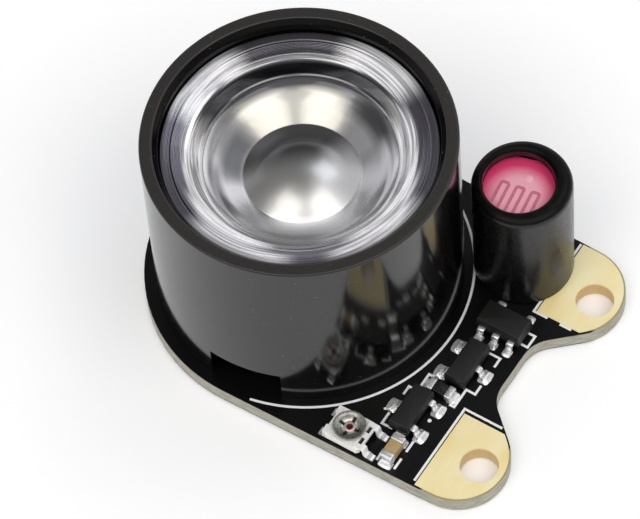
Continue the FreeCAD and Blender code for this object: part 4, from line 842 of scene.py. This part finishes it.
def red_eyelet():
    """Lacquer up to a radius that a fine noise moves by up to 0.06 mm, and bare metal beyond."""
    material, tree = new_material("lacquered_rolled_eyelet")
    place = add(tree, "TexCoord").outputs["Object"]
    _, radius = off_axis(tree, *TRIMMER)
    wear = add(tree, "TexNoise", {"Vector": place, "Scale": per_mm(0.1), "Detail": 3.0}).outputs["Fac"]
    edge = add(tree, "Math", {0: wear, 1: 0.06 * MM, 2: radius}, operation="MULTIPLY_ADD").outputs[0]
    lip = add(tree, "MapRange", {"Value": edge, "From Min": 0.19 * MM, "From Max": 0.25 * MM}).outputs[0]
    tint = painted(tree, linear("#4a1015"), [(lip, "#d9bcb9")])
    finish_material(tree, {"Base Color": tint, "Metallic": 0.4, "Roughness": 0.35})
    print(material.name)
    return material


ceramic = mottled("alumina_with_track_and_painted_shade", "#e9e7e1", "#f9f8f3", grain=0.12, rough=(0.35, 0.5),
                  relief=0.002, harsh=0.5, marks=track_and_shade_patch)
rivet_red = red_eyelet()
rotor_steel = mottled("stamped_nickel_steel", "#8f8f87", "#b9b9b1", grain=0.16, rough=(0.25, 0.4),
                      relief=0.003, sockets={"Metallic": 0.8}, harsh=0.5, marks=ring_and_cross)

# %% [markdown]
# ## The board
#
# A routed glass-epoxy board: black solder mask above and below, and a grey-tan sawn edge
# with a fine layering of glass cloth. One material does both by height: within a
# twentieth of a millimetre of either face it is mask, and between them it is edge. Round
# the gold lands the mask stays open to the board's rim, and bare laminate shows there.

# %% Board material
def bare_corners(tree, where):
    """Mask of what lies further out than the lands' inner edge and to either side of the bay."""
    side = add(tree, "Math", {0: where["Y"]}, operation="ABSOLUTE").outputs[0]
    ahead = add(tree, "MapRange", {"Value": where["X"], "From Min": 13.0 * MM, "From Max": 13.2 * MM})
    aside = add(tree, "MapRange", {"Value": side, "From Min": 4.4 * MM, "From Max": 4.6 * MM})
    return add(tree, "Math", {0: ahead.outputs[0], 1: aside.outputs[0]}, operation="MULTIPLY").outputs[0]


def glass_epoxy_board():
    """Mask or sawn edge, chosen by the distance from the board's middle height."""
    material, tree = new_material("masked_glass_epoxy")
    place = add(tree, "TexCoord").outputs["Object"]
    where = add(tree, "SeparateXYZ", {"Vector": place}).outputs
    middle = add(tree, "Math", {0: where["Z"], 1: -BOARD_TOP / 2 * MM}, operation="ADD").outputs[0]
    away = add(tree, "Math", {0: middle}, operation="ABSOLUTE").outputs[0]
    mask = add(tree, "MapRange", {"Value": away, "From Min": 0.43 * MM, "From Max": 0.455 * MM}).outputs[0]
    layers = add(tree, "Mapping", {"Vector": place, "Scale": (1, 1, 9)}).outputs[0]
    cloth = add(tree, "TexNoise", {"Vector": layers, "Scale": per_mm(0.6), "Detail": 6.0,
                                   "Roughness": 0.7}).outputs["Fac"]
    fibres = add(tree, "MapRange", {"Value": cloth, "From Min": 0.3, "From Max": 0.7}).outputs[0]
    sawn = painted(tree, linear("#7f7c70"), [(fibres, "#c8c5b6")])
    face = painted(tree, linear("#060606"), [(bare_corners(tree, where), "#a39c78")])
    tint = add(tree, "Mix", {0: mask, 6: sawn, 7: face}, data_type="RGBA").outputs[2]
    weave = add(tree, "TexWave", {"Vector": place, "Scale": per_mm(2.2), "Distortion": 2.0}).outputs["Fac"]
    speckle = add(tree, "TexNoise", {"Vector": place, "Scale": per_mm(0.1), "Detail": 3.0}).outputs["Fac"]
    satin = add(tree, "MapRange", {"Value": speckle, "To Min": 0.28, "To Max": 0.42}).outputs[0]
    rough = add(tree, "MapRange", {"Value": mask, "To Min": 0.75, "To Max": satin}).outputs[0]
    relief = add(tree, "Math", {0: weave, 1: 0.3, 2: speckle}, operation="MULTIPLY_ADD").outputs[0]
    bump = add(tree, "Bump", {"Height": relief, "Distance": 0.004 * MM}).outputs["Normal"]
    finish_material(tree, {"Base Color": tint, "Roughness": rough, "Specular IOR Level": 0.25,
                           "Normal": bump})
    print(material.name)
    return material


board_black = glass_epoxy_board()

# %% [markdown]
# ## White print on the board
#
# The print is a film of white epoxy ink, squeezed through a screen, so its lines are all
# about a seventh of a millimetre wide and mitred where they turn. A big circle
# runs round the barrel's foot, and short marks frame the small parts. They are thin
# bands that stand twelve micrometres proud of the mask.

# %% Print
def ribbon(line, width, low, high):
    """Flat band along a line in plan: two sides offset by half its width, with mitred turns."""
    line = np.asarray(line, float)
    step = np.diff(line, axis=0)
    step /= np.linalg.norm(step, axis=1, keepdims=True)
    before = np.vstack([step[:1], step])
    after = np.vstack([step, step[-1:]])
    normal = np.stack([-(before + after)[:, 1], (before + after)[:, 0]], axis=-1)
    normal /= np.linalg.norm(normal, axis=1, keepdims=True)
    edge = np.stack([-before[:, 1], before[:, 0]], axis=-1)
    reach = width / 2 / np.maximum(np.sum(normal * edge, axis=1, keepdims=True), 0.3)
    left, right = line + normal * reach, line - normal * reach
    ring = [np.column_stack([side, np.full(len(side), z)])
            for side, z in ((left, low), (right, low), (right, high), (left, high))]
    return np.stack(ring, axis=1)


def print_lines():
    """Every printed line as points in plan: one arc and a list of short open lines."""
    angle = np.radians(np.linspace(-78.8, 78.8, 97))
    circle = (BARREL_RADIUS + 0.54) * np.column_stack([np.cos(angle), np.sin(angle)])
    frames = [
        [(12.5, -8.9), (12.5, -3.55), (14.95, -3.55)],
        [(12.5, 9.1), (12.5, 3.9), (13.4, 3.9)],
        [(14.2, 3.9), (14.95, 3.9)],
        [(10.0, -8.85), (10.0, -8.46)],
        [(11.15, -8.85), (11.15, -8.08)],
        [(11.15, -7.58), (11.15, -6.8)],
        [(9.97, -6.8), (10.58, -6.8)],
        [(8.6, -5.85), (9.3, -5.5)],
        [(9.0, -5.9), (9.0, -6.7), (9.7, -6.7)],
        [(9.05, -4.5), (9.05, -3.9), (9.3, -3.9)],
        [(9.6, -3.7), (9.6, -2.66), (9.93, -2.66)],
        [(11.6, -3.75), (11.92, -3.75), (11.92, -2.45), (12.5, -2.45), (12.5, -1.8)],
        [(10.2, -2.5), (10.5, -2.5)],
        [(11.6, 0.25), (12.5, 0.25), (12.5, -0.4)],
        [(12.95, 1.67), (13.43, 1.67), (13.43, 2.5), (12.95, 2.5)],
    ]
    return [circle] + [np.array(line, float) for line in frames]


INK_WIDTH, INK_FOOT, INK_TOP = 0.145, BOARD_TOP - 0.002, BOARD_TOP + 0.012
skins = [skin(ribbon(line, INK_WIDTH, INK_FOOT, INK_TOP), caps=True) for line in print_lines()]
dot = np.array([(0, INK_TOP), (0.11, INK_TOP), (0.12, INK_FOOT), (0, INK_FOOT)])
skins += [skin(turned(dot, 20, (11.2, -5.2)))]
make_piece("board_print", skins, print_ink, "board")

# %% [markdown]
# ## Strips and blocks
#
# The packages, chips and leads stand about the board in four directions. Each is drawn
# about the origin, with outlines that are rounded rectangles: one across a strip, carried
# along its bends, or a stack of them with rolled edges. Then it is turned and moved.

# %% Strips and blocks
def rectangle(half_x, half_y, corner, steps=4):
    """Outline of a rounded rectangle: four quarter circles about points set in by corner."""
    angle = np.arange(4)[:, None] * np.pi / 2 + np.linspace(0, np.pi / 2, steps + 1)[None, :]
    sign_x = np.array([1, -1, -1, 1])[:, None]
    sign_y = np.array([1, 1, -1, -1])[:, None]
    x = sign_x * (half_x - corner) + corner * np.cos(angle)
    y = sign_y * (half_y - corner) + corner * np.sin(angle)
    return np.stack([x.ravel(), y.ravel()], axis=-1)


def placed(points, x, y, z, turn=0.0):
    """Turn points about the vertical by degrees, then move them to x, y, z."""
    cos, sin = math.cos(math.radians(turn)), math.sin(math.radians(turn))
    rotation = np.array([[cos, sin, 0], [-sin, cos, 0], [0, 0, 1]])
    return points @ rotation + np.array([x, y, z])


def swept(path, width, thickness, round_by=0.03):
    """Carry a rounded flat section along a line in the X-Z plane.

    At every point the section stands on the line's own normal, so the strip keeps its
    thickness through the bends. Its width lies along Y.
    """
    step = np.gradient(path, axis=0)
    step /= np.linalg.norm(step, axis=1, keepdims=True)
    normal = np.stack([-step[:, 1], step[:, 0]], axis=-1)
    section = rectangle(thickness / 2, width / 2, min(round_by, thickness * 0.45), 2)
    x = path[:, 0][:, None] + normal[:, 0][:, None] * section[:, 0]
    z = path[:, 1][:, None] + normal[:, 1][:, None] * section[:, 0]
    y = np.broadcast_to(section[:, 1], x.shape)
    return np.stack([x, y, z], axis=-1)


def block(half_x, half_y, low, high, edge, corner, lean=0.0, waist=None):
    """Stack of rounded rectangles with rolled edges at the foot and the top.

    An edge of size e is the quarter circle inset e(1 - cos p), height e(1 - sin p). With
    a waist the sides lean in by lean mm for each mm away from that height.
    """
    bend = np.linspace(0, np.pi / 2, 4)
    foot_inset = edge * (1 - np.sin(bend))
    foot_z = low + edge * (1 - np.cos(bend))
    top_inset = edge * (1 - np.cos(bend))
    top_z = high - edge * (1 - np.sin(bend))
    middle = np.array([]) if waist is None else np.array([waist - 0.02, waist, waist + 0.02])
    heights = np.concatenate([foot_z, middle, top_z])
    insets = np.concatenate([foot_inset, 0 * middle, top_inset])
    if waist is not None:
        insets = insets + lean * np.abs(heights - waist)
    rings = []
    for height, inset in zip(heights, insets):
        flat = rectangle(half_x - inset, half_y - inset, max(corner - inset, 0.01))
        rings.append(np.column_stack([flat, np.full(len(flat), height)]))
    return np.array(rings)


print("a 2 x 1 rectangle has", len(rectangle(1.0, 0.5, 0.1)), "points")

# %% [markdown]
# ## Leads and solder
#
# Tinned leads leave a package half way up, bend down twice and stand on their lands. In
# the solid model the bends are mitred; here each lead is one section carried along a
# softened line. Solder wets the end of a lead and sinks in a hollow slope to the land's
# edge, brightest where it turns. It is a stack of cross-sections along the lead, and
# each one is a low arch. A film of it, a twentieth of a millimetre thick, lies under
# each lead and end cap, so the parts stand that much above the board.

# %% Lead and solder shapes
FILM = 0.05


def lead(root_x, root_z, knee_x, heel_x, toe_x, width, thickness, soft):
    """One lead on the +X side: out, down and along, with both bends softened."""
    line = softened([(root_x, root_z), (knee_x, root_z), (heel_x, thickness / 2),
                     (toe_x, thickness / 2)], [0, soft, soft, 0], steps=6)
    return swept(line, width, thickness)


def joint(inner, face, outer, width, rise):
    """Solder on the +X side: height falls as the square of the way left to the edge.

    From inner to face it is a thin film under the lead, from face to outer it slopes
    from rise to nothing. Across the land the height falls as 1 - v^4, and the plan
    narrows at both ends, so the joint closes by itself. The edge keeps a hair of height.
    """
    hair = 0.012
    u = np.concatenate([np.linspace(inner, face, 9), np.linspace(face, outer, 12)[1:]])
    left_over = np.clip((outer - u) / (outer - face), 0, 1)
    climb = np.clip((u - inner) / (face - inner), 0, 1)
    height = FILM + rise * np.where(u > face, left_over ** 2, climb ** 3)
    share = (u - (inner + outer) / 2) / ((outer - inner) / 2)
    half = width / 2 * np.maximum(1 - np.abs(share) ** 6, 0.0) ** 0.5 + hair / 4
    height = height * (1 - 0.9 * np.abs(share) ** 10)
    v = np.linspace(-1, 1, 13)
    y = half[:, None] * v
    z = hair + (height[:, None] - hair) * (1 - v ** 4)
    x = np.broadcast_to(u[:, None], y.shape)
    top = np.stack([x, y, z], axis=-1)
    floor = np.stack([x[:, [-1, 0]], y[:, [-1, 0]], 0 * y[:, [-1, 0]]], axis=-1)
    return np.concatenate([top, floor], axis=1)


def row(points, side, count, pitch, place, turn):
    """Repeat rings in a centred row along Y, mirrored for side -1, then stand them on the board."""
    points = points * np.array([side, 1, 1])
    offsets = (np.arange(count) - (count - 1) / 2) * pitch
    return [skin(placed(points + np.array([0, offset, 0]), *place, turn), caps=True)
            for offset in offsets]


print("solder film", FILM)

# %% [markdown]
# ## Three moulded packages
#
# The two transistors and the driver are black epoxy mouldings with a seam half way up,
# from which the sides lean in at seven degrees, above and below. Their faces are matt
# with a sandy grain, and whatever was marked on them is left off. Each one takes its
# place and size from its solid and is drawn with its leads along X, then turned.

# %% Packages
DRAFT = math.tan(math.radians(7))


def footprint(node, turn):
    """Place in plan and half sizes of a solid, as they were before it was turned."""
    low, high = span(node)
    half_x, half_y = (high - low)[:2] / 2
    if turn % 180 == 90:
        half_x, half_y = half_y, half_x
    return *((low + high)[:2] / 2), half_x, half_y


def package(name, turn, right, left, toe, land_width, land_reach):
    """Make the body, the leads and the solder of one package, each as one piece.

    right and left give the number of leads on either side and their pitch, and toe is
    how far from the middle a lead ends.
    """
    x, y, half_x, half_y = footprint(name + "_body", turn)
    low, high = span(name + "_body")[:, 2]
    seat = BOARD_TOP + FILM
    waist, foot = 0.53, 0.3
    body = block(half_x, half_y, low, high, edge=0.05, corner=0.07, lean=DRAFT, waist=seat + waist)
    make_piece(name + "_moulding", [skin(placed(body, x, y, 0, turn), caps=True)], epoxy,
               "board", [name + "_body"], sharp=50)
    strip = lead(root_x=half_x - 0.1, root_z=waist - FILM, knee_x=half_x + 0.2, heel_x=toe - foot,
                 toe_x=toe, width=0.42, thickness=0.13, soft=0.12)
    blob = joint(inner=toe - foot - 0.11, face=toe, outer=toe + land_reach, width=land_width, rise=0.16)
    strips, blobs = [], []
    for side, (count, pitch) in ((1, right), (-1, left)):
        strips += row(strip, side, count, pitch, (x, y, seat), turn)
        blobs += row(blob, side, count, pitch, (x, y, BOARD_TOP), turn)
    make_piece(name + "_pins", strips, tin, "board", [name + "_leads"], sharp=50)
    make_piece(name + "_joints", blobs, solder, "board", [name + "_solder"], sharp=60)


package("sensor_transistor", 0, right=(2, 1.9), left=(1, 0), toe=1.2, land_width=0.9, land_reach=0.35)
package("switch_transistor", 180, right=(2, 1.9), left=(1, 0), toe=1.2, land_width=0.9, land_reach=0.35)
package("driver", 270, right=(3, 0.95), left=(2, 1.9), toe=1.35, land_width=0.55, land_reach=0.2)

# %% [markdown]
# ## Chip capacitor and chip resistor
#
# Both are ceramic bricks whose ends were dipped in metal and tinned. The capacitor is
# tan right through. The resistor is a white plate with black glaze on its upper face.
# The metal ends are a little fatter than the brick between them, with rolled edges.

# %% Chips
def chip(name, turn, core_material):
    """A core block, two end caps and two joints."""
    x, y, half_x, half_y = footprint(name + "_terminals", turn)
    low, high = span(name + "_terminals")[:, 2]
    wall, cap, reach = 0.04, 0.4, 0.3
    core = block(half_x - wall, half_y - wall, low + wall, high - wall, edge=0.03, corner=0.04)
    end = block(cap / 2, half_y, low, high, edge=0.06, corner=0.06) + np.array([half_x - cap / 2, 0, 0])
    blob = joint(inner=half_x - reach, face=half_x, outer=half_x + reach, width=0.85, rise=0.32)
    ends, blobs = [], []
    for side in (1, -1):
        ends += row(end, side, 1, 0, (x, y, 0), turn)
        blobs += row(blob, side, 1, 0, (x, y, BOARD_TOP), turn)
    make_piece(name + "_core", [skin(placed(core, x, y, 0, turn), caps=True)], core_material,
               "board", [name + "_body"], sharp=50)
    make_piece(name + "_ends", ends, tin, "board", [name + "_terminals"], sharp=50)
    make_piece(name + "_joints", blobs, solder, "board", [name + "_solder"], sharp=60)


chip("capacitor", 90, tan_ceramic)
chip("resistor", 0, glaze)

# %% [markdown]
# ## The adjuster's rotor and rivet
#
# The rotor is a dished disc, stamped from thin steel, with a cross for the screwdriver.
# As on the barrel, columns of points gather at each straight side of the cross. Inside
# an arm the upper face drops to half the sheet, and where the dish has risen above that
# it stays a hair above the underside. The rivet in the middle is a rolled tube end, dark
# inside.

# %% Rotor and eyelet
def rotor_rings():
    """Rings of the disc, bore first: along the top, over the rim, back below."""
    bore, dish_foot, dish_edge, rim = 0.25, 0.45, 0.85, 0.95
    thick, rise = 0.1, 0.2
    floor = span("trimmer_rotor")[0, 2] + 0.01
    top = softened([(bore, thick), (dish_foot - 0.05, thick), (dish_edge, thick + rise),
                    (rim, thick + rise)], [0, 0.05, 0.05, 0], steps=4)
    split = np.searchsorted(top[:, 0], CROSS_REACH)
    height = np.interp(CROSS_REACH, top[:, 0], top[:, 1])
    edge_pair = [(CROSS_REACH - 0.001, height), (CROSS_REACH + 0.001, height)]
    top = np.vstack([top[:split], edge_pair, top[split:]])
    below = softened([(rim, rise), (dish_foot, 0.0), (bore, 0.0)], [0, 0.05, 0], steps=4)
    lip = np.array([(0.935, 0.3), (0.95, 0.285), (0.95, 0.215), (0.94, 0.197)])
    profile = np.vstack([top[:-1], lip, below[1:]])
    radius, level = profile[:, 0][:, None], profile[:, 1][:, None]
    angle, in_arm = gathered(radius, CROSS_HALF, slots=4, inside=5, outside=15)
    on_top = (np.arange(len(profile)) < len(top) - 1)[:, None]
    underside = rise * np.clip((radius - dish_foot) / (rim - dish_foot), 0, 1)
    groove = np.maximum(thick / 2, underside + 0.02)
    in_cross = in_arm & on_top & (radius < CROSS_REACH)
    z = np.where(in_cross, np.minimum(level, groove), level + 0 * angle)
    rings = np.stack([radius * np.cos(angle), radius * np.sin(angle), z + floor], axis=-1)
    return rings + np.array([*TRIMMER, 0])


def rivet_profile():
    """Radius and height of the rivet: its dished mouth, the rolled lip, and the shank below."""
    foot, top = span("trimmer_eyelet")[:, 2]
    return softened([(0, top - 0.11), (0.15, top - 0.11), (0.2, top - 0.01), (0.27, top - 0.01),
                     (0.34, top - 0.07), (0.22, top - 0.08), (0.22, foot), (0, foot)],
                    [0, 0.03, 0.03, 0.03, 0.01, 0.01, 0.02, 0], steps=4)


make_piece("stamped_rotor", [skin(rotor_rings(), loop_rings=True)], rotor_steel, "adjuster",
           ["trimmer_rotor"], sharp=40)
make_piece("rolled_eyelet", [skin(turned(rivet_profile(), 40, TRIMMER))], rivet_red, "board",
           ["trimmer_eyelet"], sharp=50)

# %% [markdown]
# ## The light sensor and its sleeve
#
# The sensor is a pink-lacquered ceramic disc with a darker track that winds across it.
# The sleeve is heat-shrink tube: it has drawn in over the disc's edge, so its mouth is
# smaller than its bore and a little off centre, with a rolled lip and faint ripples.

# %% Sleeve
def sleeve_rings():
    """Turn the wall's section; rings near the mouth slide by the mouth's own shift."""
    foot, top = span("photoresistor_sleeve")[:, 2]
    bore, outer = 2.56, 2.86
    section = softened([(bore, foot), (outer, foot), (outer, top - 0.42), (2.73, top - 0.13),
                        (2.44, top), (2.21, top), (2.05, top - 0.16), (2.03, top - 0.7),
                        (1.9, top - 0.5), (bore, top - 1.0)],
                       [0, 0.05, 0.16, 0.12, 0.12, 0.05, 0.07, 0.03, 0, 0], closed=True)
    section = section[(section[:, 1] < top - 0.75) | (section[:, 0] > 1.95)]
    rings = turned(section, 144)
    inward = np.clip((2.5 - section[:, 0]) / 0.35, 0, 1)
    upward = np.clip((section[:, 1] - (top - 1.05)) / 0.3, 0, 1)
    rings[..., :2] += ((inward * upward)[:, None] * np.array([-0.17, -0.06]))[:, None, :]
    return rings + np.array([*SENSOR, 0])


LIP_FOOT = span("photoresistor_sleeve")[1, 2] - 0.25
sleeve = make_piece("shrunk_sleeve", [skin(sleeve_rings(), loop_rings=True)], rubber, "board",
                    ["photoresistor_sleeve"], sharp=50)
also_finish(sleeve, cut_rubber, lambda centre: centre[:, 2] > LIP_FOOT)

# %% [markdown]
# ### Sensor face
#
# The lacquer is a thick clear pink over white ceramic, and darker crimson towards the
# rim, partly where it pools and partly as painted shade under the sleeve's lip. The track is
# drawn as a raised band, a long line that turns back on itself, and a small round drop.
# Both are lacquered too, so they are softly glossy.

# %% Sensor finishes
def lacquer():
    """Pale pink out to 1.2 mm from the middle, crimson from 2.04 mm, moved by a cloudy noise."""
    material, tree = new_material("pink_lacquered_ceramic")
    place = add(tree, "TexCoord").outputs["Object"]
    _, radius = off_axis(tree, SENSOR[0] - 0.05, SENSOR[1] - 0.35)
    cloud = add(tree, "TexNoise", {"Vector": place, "Scale": per_mm(0.7), "Detail": 2.0}).outputs["Fac"]
    wobble = add(tree, "Math", {0: cloud, 1: 0.12 * MM, 2: radius}, operation="MULTIPLY_ADD").outputs[0]
    # Crimson towards the rim: pooled lacquer together with painted shade of the sleeve's lip.
    pooled_and_shaded = add(tree, "MapRange", {"Value": wobble, "From Min": 1.2 * MM, "From Max": 2.04 * MM}).outputs[0]
    tint = painted(tree, linear("#ffb4c4"), [(pooled_and_shaded, "#f0417a")])
    bump = add(tree, "Bump", {"Height": cloud, "Distance": 0.02 * MM}).outputs["Normal"]
    finish_material(tree, {"Base Color": tint, "Roughness": 0.32, "Coat Weight": 0.7,
                           "Coat Roughness": 0.06, "Normal": bump})
    return material


THIN_COAT = {"Coat Weight": 0.5, "Coat Roughness": 0.08}
pink = lacquer()
spot_pink = mottled("pink_lacquer_drop", "#ffb0c4", "#ffc2d2", grain=0.2, rough=(0.2, 0.3), relief=0.002,
                    sockets=THIN_COAT)
track_red = mottled("crimson_sensor_track", "#cc6982", "#da8197", grain=0.2, rough=(0.3, 0.4), relief=0.004,
                    sockets=THIN_COAT)

# %% [markdown]
# The track runs out and back six times across the disc and lies on its face like a thick
# print. The drop lies beyond its last fold, and both go a hundredth of a millimetre into
# the lacquer, so that no gap shows.

# %% Track and drop
def sensor_track():
    """A line that runs out and back along Y, stepping along X, turned to its angle."""
    fingers, pitch, reach, angle = 6, 0.46, 0.95, math.radians(7.5)
    x = np.repeat((np.arange(fingers) - (fingers - 1) / 2) * pitch, 2)
    y = reach * np.tile([-1, 1, 1, -1], fingers // 2)
    line = softened(np.column_stack([x, y]), [0] + [0.16] * (2 * fingers - 2) + [0], steps=6)
    turn = np.array([[math.cos(angle), math.sin(angle)], [-math.sin(angle), math.cos(angle)]])
    return line @ turn + SENSOR - [0.05, 0.79]


sunk = SENSOR_FACE - 0.01
track = ribbon(sensor_track(), 0.18, sunk, SENSOR_FACE + 0.03)
make_piece("sensor_track", [skin(track, caps=True)], track_red, "board")
drop = np.array([(0, SENSOR_FACE + 0.05), (0.17, SENSOR_FACE + 0.05), (0.29, sunk), (0, sunk)])
make_piece("sensor_spot", [skin(turned(drop, 24, SENSOR + [-0.14, 0.9]))], spot_pink, "board")

# %% [markdown]
# ## Materials for the solids that stay
#
# The other solids already have the right shape. Each one only needs its finish.

# %% Dress the solids
DRESS = {
    "circuit_board": board_black,
    "near_power_contact": gold, "far_power_contact": gold,
    "reflector": silver_cup,
    "emitter_slug": copper_slug, "emitter_frame": white_frame, "emitter_die": die_crystal,
    "emitter_dome": silicone, "emitter_leads": tin, "emitter_solder": solder,
    "photoresistor_body": pink, "photoresistor_leads": tin,
    "trimmer_base": ceramic, "trimmer_end_clips": bright_tin, "trimmer_wiper_plate": bright_tin,
    "trimmer_solder": solder,
}
for node, material in DRESS.items():
    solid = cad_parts[node]
    for material_slot in solid.material_slots:
        material_slot.material = material
    print("%-22s %s" % (node, material.name))
